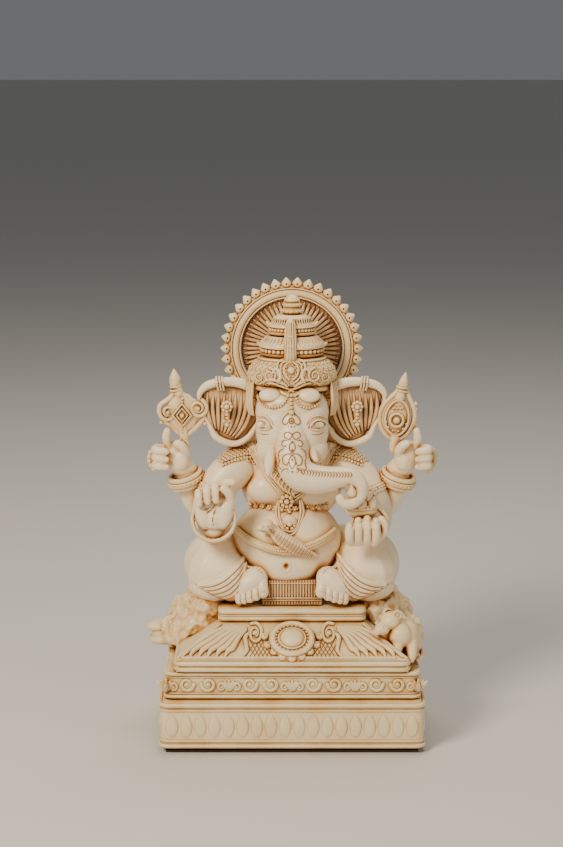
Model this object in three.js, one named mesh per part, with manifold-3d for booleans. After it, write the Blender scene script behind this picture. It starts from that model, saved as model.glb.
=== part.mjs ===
// A seated four-armed elephant-headed figure cast in marble-dust resin, on a stepped carved plinth.
// Millimetres, +Z up, the figure looks along -Y. The origin is under the middle of the felt sheet.
// "right" and "left" are the figure's own: right is -X.
import * as THREE from 'three';
import { mergeVertices } from 'three/addons/utils/BufferGeometryUtils.js';
import { LoftGeometry } from 'three/addons/geometries/LoftGeometry.js';
import Module from 'manifold-3d';

const wasm = await Module();
wasm.setup();

// ---------------------------------------------------------------- driving dimensions
const fitGap = 0.3; // clearance between two pieces that touch

// Plinth, from the floor up. Each layer is centred on the foot slab.
const slabWidth = 156;
const slabDepth = 100;
const slabHeight = 31.2;
const slabCorner = 5;
const feltThickness = 1.5;
const feltInset = 3;
const apronHeight = 16.4;
const apronInset = 2;
const mouldingHeight = 6.7;
const mouldingInset = 8;
const mouldingBead = 1.6;
const panelHeight = 16.1;
const panelThickness = 5.5;
const panelRun = 26; // how far the panel leans in between its foot and the cap
const medallionRadius = 14.2;
const medallionThickness = 3.4;
const capHeight = 7.9;
const capGroove = 1.4;
const rockRise = 6.5; // how far the rocky flanks stand above the cap
const bolsterRadius = 8;
const bolsterLength = 17;

// Figure.
const bellyRadii = new THREE.Vector3(34, 25, 27);
const bellyLift = 37.5; // height of the belly's centre above the cap
const bellyBack = 8; // how far the belly's centre lies behind the slab's middle
const chestRadii = new THREE.Vector3(31, 20, 26);
const shoulderHalfWidth = 31;
const shoulderRadius = 12.5;
const thighRadius = 20;
const kneeReach = 47; // from the middle to the centre of the knee
const footLength = 20;
const toeRadius = 2.6;
const headRadii = new THREE.Vector3(22.5, 22, 25);
const trunkRadius = 10.5;
const trunkReach = 36; // sideways, from the middle to the centre of the trunk's curl
const curlRadius = 6.5;
const tuskRadius = 2.5;
const earThickness = 5;
const earReach = 56;
const earHeight = 42;
const crownRadius = 27;
const crownSquash = 0.82; // the crown is oval, narrower front to back
const haloRadius = 31;
const haloThickness = 5;
const haloRimTube = 3;
const haloBuds = 38;
const haloBudRadius = 3.3;
const wristRadius = 7.6;
const rearHandReach = 66;
const bangleTube = 3.6;
const fingerRadius = 2.5;
const toolThickness = 8;

// ---------------------------------------------------------------- levels that follow from them
const slabBottom = feltThickness + fitGap;
const slabTop = slabBottom + slabHeight;
const apronTop = slabTop + fitGap + apronHeight;
const mouldingTop = apronTop + fitGap + mouldingHeight;
const panelTop = mouldingTop + fitGap + panelHeight;
const capBottom = panelTop + fitGap;
const capTop = capBottom + capHeight;
const mouldingHalfWidth = slabWidth / 2 - mouldingInset;
const mouldingFront = -slabDepth / 2;
const capHalfWidth = mouldingHalfWidth - panelRun + 0.5;
const capFront = mouldingFront + panelRun;
const capBack = slabDepth / 2 - 6;
const belly = new THREE.Vector3(-3, bellyBack, capTop + bellyLift);
const chest = new THREE.Vector3(0, belly.y + 4, belly.z + bellyRadii.z + 4);
const shoulderLevel = chest.z + 15;
const head = new THREE.Vector3(0, chest.y - 14, chest.z + chestRadii.z + 13);
const crownBase = head.z + headRadii.z - 3;
const haloCentre = new THREE.Vector3(0, chest.y + chestRadii.y + 1, head.z + 42);

// ---------------------------------------------------------------- finishes
const ivory = { color: '#ece0c6', roughness: 0.55, metalness: 0 };
const carved = { color: '#dcc79b', roughness: 0.62, metalness: 0 };
const worn = { color: '#e4d4b0', roughness: 0.6, metalness: 0 };
const felt = { color: '#4a3b2c', roughness: 0.95, metalness: 0 };

const idol = new THREE.Group();
const makers = {};

// ---------------------------------------------------------------- solids
function manifoldOf(positions, triangles) {
  return new wasm.Manifold(new wasm.Mesh({
    numProp: 3,
    vertProperties: Float32Array.from(positions),
    triVerts: Uint32Array.from(triangles),
  }));
}

// Turns a closed three.js geometry into a solid whose faces point outwards.
function solid(geometry) {
  const bare = new THREE.BufferGeometry().copy(geometry);
  bare.deleteAttribute('normal');
  bare.deleteAttribute('uv');
  const merged = mergeVertices(bare, 1e-4);
  const corners = merged.getIndex().array;
  const triangles = [];
  const flipped = [];
  for (let i = 0; i < corners.length; i += 3) {
    const [a, b, c] = [corners[i], corners[i + 1], corners[i + 2]];
    if (a === b || b === c || c === a) continue;
    triangles.push(a, b, c);
    flipped.push(a, c, b);
  }
  const positions = merged.getAttribute('position').array;
  const made = manifoldOf(positions, triangles);
  return made.volume() > 0 ? made : manifoldOf(positions, flipped);
}

function ball(centre, radii, grow = 0, sides = 12) {
  const geometry = new THREE.SphereGeometry(1, sides, Math.round(sides * 0.55));
  geometry.rotateX(Math.PI / 2);
  geometry.scale(radii[0] + grow, radii[1] + grow, radii[2] + grow);
  geometry.translate(...centre);
  return solid(geometry);
}

// A round limb through stations [x, y, z, radius], with domed ends.
function limb(stations, grow = 0, sides = 9, steps = 6) {
  const curve = new THREE.CatmullRomCurve3(stations.map(([x, y, z]) => new THREE.Vector3(x, y, z)));
  const frames = curve.computeFrenetFrames(steps, false);
  const sections = [];
  const addSection = (index, radius, shift) => {
    const along = index / steps;
    const centre = curve.getPoint(along).addScaledVector(frames.tangents[index], shift);
    const ring = [];
    for (let side = 0; side < sides; side += 1) {
      const turn = (2 * Math.PI * side) / sides;
      ring.push(centre.clone()
        .addScaledVector(frames.normals[index], Math.cos(turn) * radius)
        .addScaledVector(frames.binormals[index], Math.sin(turn) * radius));
    }
    sections.push(ring);
  };
  const radiusAt = (along) => {
    const place = along * (stations.length - 1);
    const from = Math.min(Math.floor(place), stations.length - 2);
    const blend = place - from;
    return stations[from][3] * (1 - blend) + stations[from + 1][3] * blend + grow;
  };
  const domeAngles = [48].map((degrees) => (degrees * Math.PI) / 180);
  for (const angle of domeAngles) {
    addSection(0, radiusAt(0) * Math.cos(angle), -radiusAt(0) * Math.sin(angle));
  }
  for (let step = 0; step <= steps; step += 1) {
    addSection(step, radiusAt(step / steps), 0);
  }
  for (const angle of domeAngles.slice().reverse()) {
    addSection(steps, radiusAt(1) * Math.cos(angle), radiusAt(1) * Math.sin(angle));
  }
  return solid(new LoftGeometry(sections, { capStart: true, capEnd: true }));
}

// A rectangle with round corners at height z, as a loft section.
function layer(halfWidth, front, back, corner, z) {
  const points = [];
  const corners = [
    [halfWidth - corner, back - corner, 0],
    [-halfWidth + corner, back - corner, 90],
    [-halfWidth + corner, front + corner, 180],
    [halfWidth - corner, front + corner, 270],
  ];
  for (const [x, y, start] of corners) {
    for (const extra of [0, 45, 90]) {
      const turn = ((start + extra) * Math.PI) / 180;
      points.push(new THREE.Vector3(x + corner * Math.cos(turn), y + corner * Math.sin(turn), z));
    }
  }
  return points;
}

function stack(layers) {
  return solid(new LoftGeometry(layers, { capStart: true, capEnd: true }));
}

// A plate with its outline in X and Z, from y = front to y = front + thickness.
function plate(outline, front, thickness, grow = 0) {
  const shape = new THREE.Shape(outline.map(([x, z]) => new THREE.Vector2(x, z)));
  const geometry = new THREE.ExtrudeGeometry(shape, {
    depth: thickness,
    bevelEnabled: grow > 0,
    bevelThickness: grow,
    bevelSize: grow,
    bevelSegments: 1,
    steps: 1,
  });
  geometry.rotateX(Math.PI / 2);
  geometry.translate(0, front + thickness, 0);
  return solid(geometry);
}

// A turned shape about a vertical axis through centre, squashed front to back.
function turned(profile, centre, squash = 1, sides = 18) {
  const geometry = new THREE.LatheGeometry(profile.map(([r, z]) => new THREE.Vector2(r, z)), sides);
  geometry.rotateX(Math.PI / 2);
  geometry.scale(1, squash, 1);
  geometry.translate(...centre);
  return solid(geometry);
}

// A ring round a limb: radius to the tube's middle, tube thickness, axis direction.
function ring(centre, axis, radius, tube, grow = 0) {
  const geometry = new THREE.TorusGeometry(radius, tube + grow, 6, 16);
  const turn = new THREE.Quaternion();
  turn.setFromUnitVectors(new THREE.Vector3(0, 0, 1), new THREE.Vector3(...axis).normalize());
  geometry.applyQuaternion(turn);
  geometry.translate(...centre);
  return solid(geometry);
}

function join(solids) {
  return solids.reduce((whole, next) => whole.add(next));
}

// Adds one piece: its own shape, cut back from the grown shapes of the neighbours that it touches.
function piece(name, finish, make, neighbours = []) {
  makers[name] = make;
  let body = make(0);
  for (const neighbour of neighbours) {
    body = body.subtract(makers[neighbour](fitGap));
  }
  const { vertProperties, triVerts } = body.getMesh();
  const geometry = new THREE.BufferGeometry();
  geometry.setAttribute('position', new THREE.BufferAttribute(vertProperties, 3));
  geometry.setIndex(new THREE.BufferAttribute(triVerts, 1));
  geometry.computeVertexNormals();
  const mesh = new THREE.Mesh(geometry, new THREE.MeshStandardMaterial(finish));
  mesh.name = name;
  idol.add(mesh);
}

// ---------------------------------------------------------------- plinth
function plinth() {
  const slabHalf = slabWidth / 2;
  const slabFront = -slabDepth / 2;
  const slabBack = slabDepth / 2;
  const ledge = (inset, z, corner = slabCorner) => (
    layer(slabHalf - inset, slabFront + inset, slabBack - inset, corner, z)
  );
  piece('felt_sheet', felt, () => stack([ledge(feltInset, 0), ledge(feltInset, feltThickness)]));
  piece('foot_slab', worn, () => stack([
    ledge(0.8, slabBottom),
    ledge(0, slabBottom + 0.8),
    ledge(0, slabTop - 1.5),
    ledge(1.5, slabTop),
  ]));
  piece('scroll_apron', carved, (grow) => stack([
    ledge(apronInset - grow, slabTop + fitGap - grow),
    ledge(apronInset - grow, slabTop + fitGap + apronHeight * 0.35),
    ledge(apronInset + 2 - grow, slabTop + fitGap + apronHeight * 0.7),
    ledge(apronInset + 4 - grow, apronTop + grow),
  ]));

  // Two beads, one above the other.
  const mouldingLayer = (bulge, z) => (
    layer(mouldingHalfWidth + bulge, mouldingFront - bulge, slabBack - apronInset + bulge, 4, z)
  );
  piece('lower_moulding', carved, (grow) => {
    const base = apronTop + fitGap;
    const beadHeight = mouldingHeight / 2;
    const layers = [mouldingLayer(grow - mouldingBead, base - grow)];
    for (const bead of [0, 1]) {
      for (const share of [0.25, 0.5, 0.75]) {
        const bulge = grow - mouldingBead + mouldingBead * Math.sin(share * Math.PI);
        layers.push(mouldingLayer(bulge, base + beadHeight * (bead + share)));
      }
      layers.push(mouldingLayer(grow - mouldingBead, base + beadHeight * (bead + 1) + (bead ? grow : 0)));
    }
    return stack(layers);
  });

  // The sloping block under the cap, set back by the thickness of the carved panel.
  const slopeBottom = mouldingTop + fitGap;
  const coreFront = mouldingFront + panelThickness + fitGap;
  piece('plinth_core', worn, (grow) => stack([
    layer(mouldingHalfWidth - 2 + 2 * grow, coreFront - 2 * grow, slabBack - 4 + grow, 3, slopeBottom),
    layer(capHalfWidth - 2 + 2 * grow, coreFront + panelRun - 2 * grow, capBack + grow, 3, panelTop + grow),
  ]));
  const panelLayer = (halfWidth, front, z, grow) => (
    layer(halfWidth - 1 + 2 * grow, front + 1 - 2 * grow, front + panelThickness + 2 * grow, 0.6, z)
  );
  piece('front_panel', carved, (grow) => stack([
    panelLayer(mouldingHalfWidth, mouldingFront, slopeBottom, grow),
    panelLayer(capHalfWidth, capFront, panelTop + grow, grow),
  ]));

  const lean = Math.atan2(panelHeight, panelRun);
  piece('panel_medallion', carved, (grow) => {
    const geometry = new THREE.LatheGeometry([
      [0, -grow],
      [medallionRadius + grow, -grow],
      [medallionRadius + grow, 1.2],
      [medallionRadius - 2, 2],
      [medallionRadius * 0.62, 1.2],
      [medallionRadius * 0.45, medallionThickness],
      [0, medallionThickness + 1],
    ].map(([r, z]) => new THREE.Vector2(r, z)), 18);
    geometry.rotateX(Math.PI / 2);
    geometry.translate(0, 0, fitGap);
    geometry.rotateX(lean);
    geometry.translate(0, (mouldingFront + capFront) / 2 + 1, (slopeBottom + panelTop) / 2);
    return solid(geometry);
  });

  piece('cap_slab', carved, (grow) => {
    const capLayer = (inset, z) => layer(capHalfWidth - inset, capFront + inset, capBack - inset, 2, z);
    const middle = capBottom + capHeight / 2;
    return stack([
      capLayer(0.6 - grow, capBottom - grow),
      capLayer(-grow, capBottom + 0.8),
      capLayer(-grow, middle - capGroove),
      capLayer(capGroove - grow, middle - 0.2),
      capLayer(capGroove - grow, middle + 0.2),
      capLayer(-grow, middle + capGroove),
      capLayer(-grow, capTop - 0.8),
      capLayer(0.6 - grow, capTop + grow),
    ]);
  });
}

// ---------------------------------------------------------------- rocky flanks and the mouse
function flanks() {
  const under = ['plinth_core', 'front_panel', 'lower_moulding', 'scroll_apron', 'cap_slab'];
  for (const [side, name] of [[-1, 'rock_right'], [1, 'rock_left']]) {
    piece(name, worn, (grow) => join([
      ball([side * (capHalfWidth + 9), 14, panelTop - 7], [18, 30, 18 + rockRise], grow),
      ball([side * (mouldingHalfWidth - 5), 12, mouldingTop + 5], [16, 32, 12], grow),
    ]), under);
  }
  piece('bolster', worn, (grow) => limb([
    [-mouldingHalfWidth - 6, 20, mouldingTop - 1, bolsterRadius],
    [-mouldingHalfWidth - 6 - bolsterLength / 3, 20, mouldingTop - 2, bolsterRadius],
    [-mouldingHalfWidth - 1 - bolsterLength * 0.8, 20, mouldingTop - 2.5, bolsterRadius - 1],
  ], grow), [...under, 'rock_right']);

  const mouse = [mouldingHalfWidth - 4, -25, mouldingTop + 9];
  piece('mouse_body', ivory, (grow) => join([
    ball(mouse, [10, 15, 12], grow, 10),
    ball([mouse[0] + 3, mouse[1] + 8, mouse[2] - 4], [9, 10, 9], grow, 8),
    limb([
      [mouse[0] - 1, mouse[1] - 12, mouse[2] - 5, 3],
      [mouse[0] - 2, mouse[1] - 17, mouse[2] - 5.5, 2.4],
    ], grow, 6, 2),
  ]), [...under, 'rock_left']);
  piece('mouse_head', ivory, (grow) => join([
    ball([mouse[0] - 10, mouse[1] - 8, mouse[2] + 9], [7, 7.5, 6.5], grow, 9),
    limb([
      [mouse[0] - 12, mouse[1] - 11, mouse[2] + 8, 4.5],
      [mouse[0] - 16, mouse[1] - 15, mouse[2] + 5.5, 2.6],
    ], grow, 6, 2),
    ball([mouse[0] - 4, mouse[1] - 6, mouse[2] + 14], [3, 1.8, 3.2], grow, 6),
  ]), [...under, 'mouse_body']);
}

// ---------------------------------------------------------------- body
function body() {
  piece('belly', ivory, (grow) => join([
    ball(belly.toArray(), bellyRadii.toArray(), grow, 18),
    ball([0, belly.y + 6, belly.z - 14], [bellyRadii.x - 1, bellyRadii.y - 4, 22], grow, 12),
  ]), ['cap_slab', 'rock_right', 'rock_left']);
  piece('chest', ivory, (grow) => join([
    ball(chest.toArray(), chestRadii.toArray(), grow, 14),
    limb([
      [-shoulderHalfWidth, chest.y, shoulderLevel - 2, shoulderRadius - 1],
      [0, chest.y + 1, shoulderLevel + 1, shoulderRadius],
      [shoulderHalfWidth, chest.y, shoulderLevel - 2, shoulderRadius - 1],
    ], grow, 10, 4),
  ]), ['belly']);

  const kneeLevel = capTop + thighRadius + 1;
  const ankle = { x: 27, y: capFront + footLength * 0.62, z: capTop + 11 };
  for (const [side, word] of [[-1, 'right'], [1, 'left']]) {
    piece(`${word}_leg`, ivory, (grow) => join([
      limb([
        [side * 20, belly.y + 14, kneeLevel + 3, thighRadius - 1],
        [side * kneeReach, belly.y + 4, kneeLevel, thighRadius + 0.5],
      ], grow, 12, 3),
      limb([
        [side * kneeReach, belly.y - 2, kneeLevel - 1, thighRadius - 1],
        [side * (kneeReach - 8), belly.y - 10, kneeLevel - 4, thighRadius - 5],
        [side * ankle.x, ankle.y, ankle.z, 8.5],
      ], grow, 12, 4),
    ]), ['cap_slab', 'rock_right', 'rock_left', 'belly', 'chest']);
    piece(`${word}_foot`, ivory, (grow) => {
      const toes = [0, 1, 2, 3, 4].map((index) => {
        const size = index === 0 ? toeRadius + 1 : toeRadius - 0.12 * index;
        const x = side * (ankle.x - 11 + index * 4.6);
        return limb([
          [x, ankle.y - 8, capTop + 7.5, size],
          [x, capFront + 3 - (2 - Math.abs(index - 1)) * 0.7, capTop + 3.8, size],
        ], grow, 6, 1);
      });
      return join([
        limb([
          [side * (ankle.x + 1), ankle.y + 3, ankle.z - 1, 7.5],
          [side * (ankle.x - 1), ankle.y - 6, ankle.z - 4, 8.6],
        ], grow, 9, 2),
        ...toes,
      ]);
    }, ['cap_slab', 'right_leg', 'left_leg'].slice(0, side < 0 ? 2 : 3));
  }
  piece('seat_mat', carved, () => plate([
    [-13.5, capTop + fitGap],
    [13.5, capTop + fitGap],
    [12.5, capTop + 15],
    [-12.5, capTop + 15],
  ], capFront + 7, 22), ['belly', 'right_leg', 'left_leg', 'right_foot', 'left_foot']);

  // The snake lies in an arc over the front of the belly and lifts its head in the middle.
  const beltLevel = belly.z + 2;
  const front = belly.y - bellyRadii.y;
  piece('snake_belt', carved, (grow) => join([
    limb([
      [belly.x - 29, front + 12.5, beltLevel + 5, 2.6],
      [belly.x - 17, front + 3.2, beltLevel + 1, 3],
      [belly.x, front - 0.2, beltLevel - 2, 3.2],
      [belly.x + 17, front + 3.2, beltLevel + 1, 3],
      [belly.x + 29, front + 12.5, beltLevel + 5, 2.6],
    ], grow, 7, 10),
    limb([
      [belly.x - 2, front - 1, beltLevel - 2, 3.6],
      [belly.x - 8, front - 3.4, beltLevel + 3, 3.4],
      [belly.x - 12, front - 5, beltLevel + 8, 2.8],
    ], grow, 7, 3),
  ]), ['belly', 'right_leg', 'left_leg']);
}

// ---------------------------------------------------------------- head, trunk, ears
function headAndFace() {
  piece('head', ivory, (grow) => join([
    ball(head.toArray(), headRadii.toArray(), grow, 14),
    ball([-11.5, head.y - 7, head.z + 17], [11, 11, 10], grow, 10),
    ball([11.5, head.y - 7, head.z + 17], [11, 11, 10], grow, 10),
    ball([0, head.y + 8, head.z - 14], [17, 15, 16], grow, 10),
  ]), ['chest']);

  const faceFront = head.y - headRadii.y;
  const curl = { x: trunkReach, y: faceFront - 7, z: head.z - 31 };
  piece('trunk', ivory, (grow) => limb([
    [0, faceFront + 6, head.z + 8, trunkRadius - 0.5],
    [0, faceFront - 0.5, head.z - 6, trunkRadius],
    [1, faceFront - 5, head.z - 20, trunkRadius - 0.7],
    [11, faceFront - 6.5, head.z - 28, trunkRadius - 2],
    [23, faceFront - 7, head.z - 27, trunkRadius - 3.6],
    [curl.x - 2, curl.y, curl.z + curlRadius, 5.2],
    [curl.x + curlRadius - 0.5, curl.y, curl.z + 1, 4.4],
    [curl.x + 1.5, curl.y, curl.z - curlRadius + 0.5, 3.8],
  ], grow, 10, 14), ['head', 'chest']);
  piece('trunk_sweet', carved, (grow) => (
    ball([curl.x - 1.6, curl.y - 1, curl.z - 0.5], [2.8, 5, 3.2], grow, 8)
  ), ['trunk']);

  piece('collar', carved, (grow) => limb([
    [-shoulderHalfWidth - 4, chest.y + 2, shoulderLevel + 4, 5.5],
    [-21, chest.y + 8, shoulderLevel + 14, 7],
    [0, chest.y + 9.5, shoulderLevel + 18, 7.5],
    [21, chest.y + 8, shoulderLevel + 14, 7],
    [shoulderHalfWidth + 4, chest.y + 2, shoulderLevel + 4, 5.5],
  ], grow, 8, 8), ['chest', 'head']);

  for (const [side, word] of [[-1, 'right'], [1, 'left']]) {
    piece(`tusk_${word}`, ivory, (grow) => limb([
      [side * 12, faceFront + 4, head.z - 12, tuskRadius],
      [side * 13.5, faceFront - 3, head.z - 19, tuskRadius],
      [side * 14, faceFront - 9, head.z - 23, tuskRadius * 0.55],
    ], grow, 6, 3), ['head', 'trunk']);
    const bottom = head.z - 14;
    const top = bottom + earHeight;
    const outline = [
      [18, bottom + 14],
      [27, bottom + 4],
      [36, bottom],
      [43, bottom + 3],
      [earReach - 6, bottom + 12],
      [earReach - 1.5, bottom + 22],
      [earReach, top - 10],
      [earReach - 5, top - 4],
      [earReach - 14, top],
      [30, top - 2],
      [18, top - 8],
    ];
    piece(`ear_${word}`, ivory, (grow) => (
      plate(outline.map(([x, z]) => [side * x, z]), head.y + 5, earThickness, grow)
    ), ['head', 'collar']);
    piece(`earring_${word}`, carved, (grow) => join([
      ball([side * 39, head.y + 2.5, head.z + 12], [4, 3.2, 4], grow, 8),
      limb([
        [side * 39, head.y + 2.6, head.z + 9, 1.8],
        [side * 39, head.y + 2.6, head.z + 3, 2.6],
      ], grow, 6, 1),
    ]), [`ear_${word}`]);
  }

  piece('necklace', carved, (grow) => limb([
    [-25, chest.y - 15, chest.z + 20, 2.8],
    [-21, chest.y - 19, chest.z + 7, 3.2],
    [-10, chest.y - 21.5, chest.z - 4, 3.4],
    [0, chest.y - 22.5, chest.z - 7.5, 3.6],
    [10, chest.y - 21.5, chest.z - 4, 3.4],
    [21, chest.y - 19, chest.z + 7, 3.2],
    [25, chest.y - 15, chest.z + 20, 2.8],
  ], grow, 7, 12), ['chest', 'belly', 'head', 'collar', 'trunk']);
  piece('pendant', carved, (grow) => join([
    limb([
      [-0.5, belly.y - 21, belly.z + 20, 2.6],
      [-1, belly.y - 23, belly.z + 13, 3.2],
    ], grow, 7, 1),
    ball([-1, belly.y - 22.5, belly.z + 14], [6.5, 3.5, 4.5], grow, 8),
  ]), ['chest', 'belly', 'necklace', 'snake_belt']);
}

// ---------------------------------------------------------------- crown
function crown() {
  const axis = head.y + 4;
  const level = [crownBase, crownBase + 4.4, crownBase + 20, crownBase + 32.5, crownBase + 45];
  const leanBack = [0, 0.4, 1.6, 2.6, 3.6];
  const tier = (index, profile) => (grow) => {
    const height = level[index + 1] - level[index] - fitGap;
    const points = profile.map(([r, share]) => {
      const lift = share === 0 ? -grow : grow;
      return [Math.max(0, r + (r > 0 ? grow : 0)), share * height + (share === 0 || share === 1 ? lift : 0)];
    });
    return turned(points, [0, axis + leanBack[index], level[index]], crownSquash);
  };
  piece('crown_brim', carved, tier(0, [
    [0, 0], [crownRadius - 1, 0], [crownRadius + 1.2, 0.3],
    [crownRadius + 1.2, 0.7], [crownRadius - 1, 1], [0, 1],
  ]), ['head', 'ear_right', 'ear_left']);
  piece('crown_bulb', carved, tier(1, [
    [0, 0], [crownRadius - 1.5, 0], [crownRadius, 0.25], [crownRadius - 1, 0.55], [crownRadius - 5, 0.85],
    [crownRadius - 9, 1], [0, 1],
  ]), ['head', 'ear_right', 'ear_left']);
  piece('crown_band', carved, tier(2, [
    [0, 0], [crownRadius - 9, 0], [crownRadius - 7, 0.25], [crownRadius - 7.5, 0.5], [crownRadius - 14, 0.75],
    [crownRadius - 15, 1], [0, 1],
  ]));
  piece('crown_tier', carved, tier(3, [
    [0, 0], [crownRadius - 14, 0], [crownRadius - 12.3, 0.25],
    [crownRadius - 12.8, 0.45], [crownRadius - 18, 0.62],
    [crownRadius - 17.2, 0.8], [crownRadius - 20, 1], [0, 1],
  ]));
  const tip = level[4];
  piece('crown_finial', carved, () => turned([
    [0, tip], [5.5, tip], [6.6, tip + 3], [4.6, tip + 5], [5, tip + 7], [2.6, tip + 9.5], [0, tip + 11.5],
  ], [0, axis + leanBack[4], 0], 1, 14));
  const crestFront = axis - (crownRadius - 8) * crownSquash;
  piece('crown_crest', carved, (grow) => limb([
    [-1, crestFront + 1.5, level[2] + 2, 4],
    [-1, crestFront + 4.5, level[2] + 8, 4.4],
    [-1, crestFront + 8.5, level[3] + 2, 4.2],
    [-1, crestFront + 10, level[3] + 6.5, 3.2],
  ], grow, 8, 5), ['crown_bulb', 'crown_band', 'crown_tier']);
}

// ---------------------------------------------------------------- halo
function halo() {
  const centre = haloCentre.toArray();
  const turnToFace = (geometry) => {
    geometry.rotateX(Math.PI);
    geometry.translate(...centre);
    return solid(geometry);
  };
  piece('halo_disc', carved, (grow) => turnToFace(new THREE.LatheGeometry([
    [0, -haloThickness / 2],
    [haloRadius + grow, -haloThickness / 2],
    [haloRadius + grow, haloThickness / 2 - 1],
    [haloRadius * 0.5, haloThickness / 2 - 2],
    [haloRadius * 0.2, haloThickness / 2],
    [0, haloThickness / 2],
  ].map(([r, y]) => new THREE.Vector2(r, y)), 36)), ['crown_bulb', 'crown_band', 'crown_tier']);
  const rimMiddle = haloRadius + fitGap + haloRimTube;
  piece('halo_rim', carved, (grow) => {
    const geometry = new THREE.TorusGeometry(rimMiddle, haloRimTube + grow, 6, 36);
    geometry.rotateX(Math.PI / 2);
    geometry.translate(...centre);
    return solid(geometry);
  });
  const budMiddle = rimMiddle + haloRimTube + haloBudRadius * 0.95;
  piece('halo_buds', carved, (grow) => {
    const outline = [];
    for (let bud = 0; bud < haloBuds; bud += 1) {
      for (const share of [-0.5, -0.2, 0.2]) {
        const turn = (2 * Math.PI * (bud + share)) / haloBuds;
        const swell = haloBudRadius * Math.cos(share * Math.PI) + grow;
        outline.push(new THREE.Vector2(
          centre[0] + (budMiddle + swell) * Math.cos(turn),
          centre[2] + (budMiddle + swell) * Math.sin(turn),
        ));
      }
    }
    const shape = new THREE.Shape(outline);
    const opening = new THREE.Path();
    opening.absarc(centre[0], centre[2], rimMiddle + haloRimTube + fitGap - grow, 0, 2 * Math.PI, true);
    shape.holes.push(opening);
    const geometry = new THREE.ExtrudeGeometry(shape, {
      depth: haloThickness + 2 * grow,
      bevelEnabled: false,
      curveSegments: 36,
      steps: 1,
    });
    geometry.rotateX(Math.PI / 2);
    geometry.translate(0, centre[1] + haloThickness / 2 + grow, 0);
    return solid(geometry);
  }, ['collar', 'ear_right', 'ear_left']);
  const discBottom = centre[2] - budMiddle - haloBudRadius;
  piece('halo_stem', worn, (grow) => plate([
    [-14, shoulderLevel - 6],
    [14, shoulderLevel - 6],
    [11, discBottom + haloBudRadius],
    [-11, discBottom + haloBudRadius],
  ], centre[1] - haloThickness / 2, haloThickness + 3, grow), ['chest', 'collar', 'halo_buds', 'halo_rim']);
}

// ---------------------------------------------------------------- front arms
function frontArms() {
  const near = ['chest', 'belly', 'right_leg', 'left_leg', 'collar', 'necklace'];
  for (const [side, word] of [[-1, 'right'], [1, 'left']]) {
    const elbow = [side * 51, belly.y - 12, belly.z + 12];
    const wrist = [side * 46.5, belly.y - 27, belly.z + 9.5];
    piece(`front_arm_${word}`, ivory, (grow) => join([
      limb([
        [side * (shoulderHalfWidth + 2), chest.y - 5, shoulderLevel - 3, shoulderRadius - 0.5],
        [side * 48, chest.y - 9, shoulderLevel - 22, 11],
        [...elbow, 9.6],
      ], grow, 9, 3),
      limb([[...elbow, 9.6], [...wrist, wristRadius]], grow, 9, 1),
    ]), near);
    piece(`bracelet_${word}`, carved, (grow) => (
      ring([wrist[0], wrist[1] - 1.5, wrist[2] + 1.5], [0, -1, 0.6], wristRadius + 0.6, 2.2, grow)
    ), [...near, `front_arm_${word}`]);
  }

  // Right hand: open palm, fingers up.
  const palm = [-46, belly.y - 33, belly.z + 22];
  piece('front_hand_right', ivory, (grow) => {
    const fingers = [0, 1, 2, 3].map((index) => limb([
      [palm[0] - 8 + index * 5.3, palm[1] - 1, palm[2] + 5, fingerRadius],
      [
        palm[0] - 9 + index * 5.6,
        palm[1] - 2.5,
        palm[2] + 19 - Math.abs(index - 1.4) * 2.5,
        fingerRadius - 0.3,
      ],
    ], grow, 6, 1));
    const thumb = limb([
      [palm[0] + 9, palm[1], palm[2] - 3, 3.2],
      [palm[0] + 12.5, palm[1] - 2.5, palm[2] + 7, 2.4],
    ], grow, 6, 1);
    const heel = limb([
      [palm[0] - 0.5, palm[1] + 3.5, palm[2] - 11, wristRadius - 1],
      [palm[0], palm[1], palm[2] - 4, wristRadius],
    ], grow, 8, 1);
    return join([ball(palm, [12, 6, 11], grow, 9), heel, thumb, ...fingers]);
  }, [...near, 'front_arm_right', 'bracelet_right']);

  // Left hand: upturned fingers round a bowl of sweets.
  const cup = [42.5, belly.y - 32, belly.z + 13];
  piece('front_hand_left', ivory, (grow) => {
    const fingers = [0, 1, 2, 3].map((index) => limb([
      [cup[0] - 9 + index * 6, cup[1] - 5, cup[2] - 5, fingerRadius + 0.4],
      [cup[0] - 9.4 + index * 6.2, cup[1] - 6.5, cup[2] + 9, fingerRadius],
    ], grow, 6, 1));
    const heel = limb([
      [cup[0] + 3, cup[1] + 5, cup[2] - 4, wristRadius - 0.8],
      [cup[0], cup[1], cup[2] - 3, wristRadius + 1],
    ], grow, 8, 1);
    return join([ball([cup[0], cup[1] - 1, cup[2] - 2], [12.5, 6.5, 8], grow, 9), heel, ...fingers]);
  }, [...near, 'front_arm_left', 'bracelet_left', 'trunk', 'trunk_sweet']);
  piece('sweet_bowl', carved, (grow) => join([
    ball([cup[0], cup[1] + 2, cup[2] + 8], [10.5, 7, 6], grow, 9),
    ball([cup[0] - 4, cup[1] + 1, cup[2] + 13], [4, 4, 4], grow, 7),
    ball([cup[0] + 4, cup[1] + 2, cup[2] + 13], [4, 4, 4], grow, 7),
  ]), [...near, 'front_arm_left', 'bracelet_left', 'front_hand_left', 'trunk', 'trunk_sweet']);
}

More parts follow.
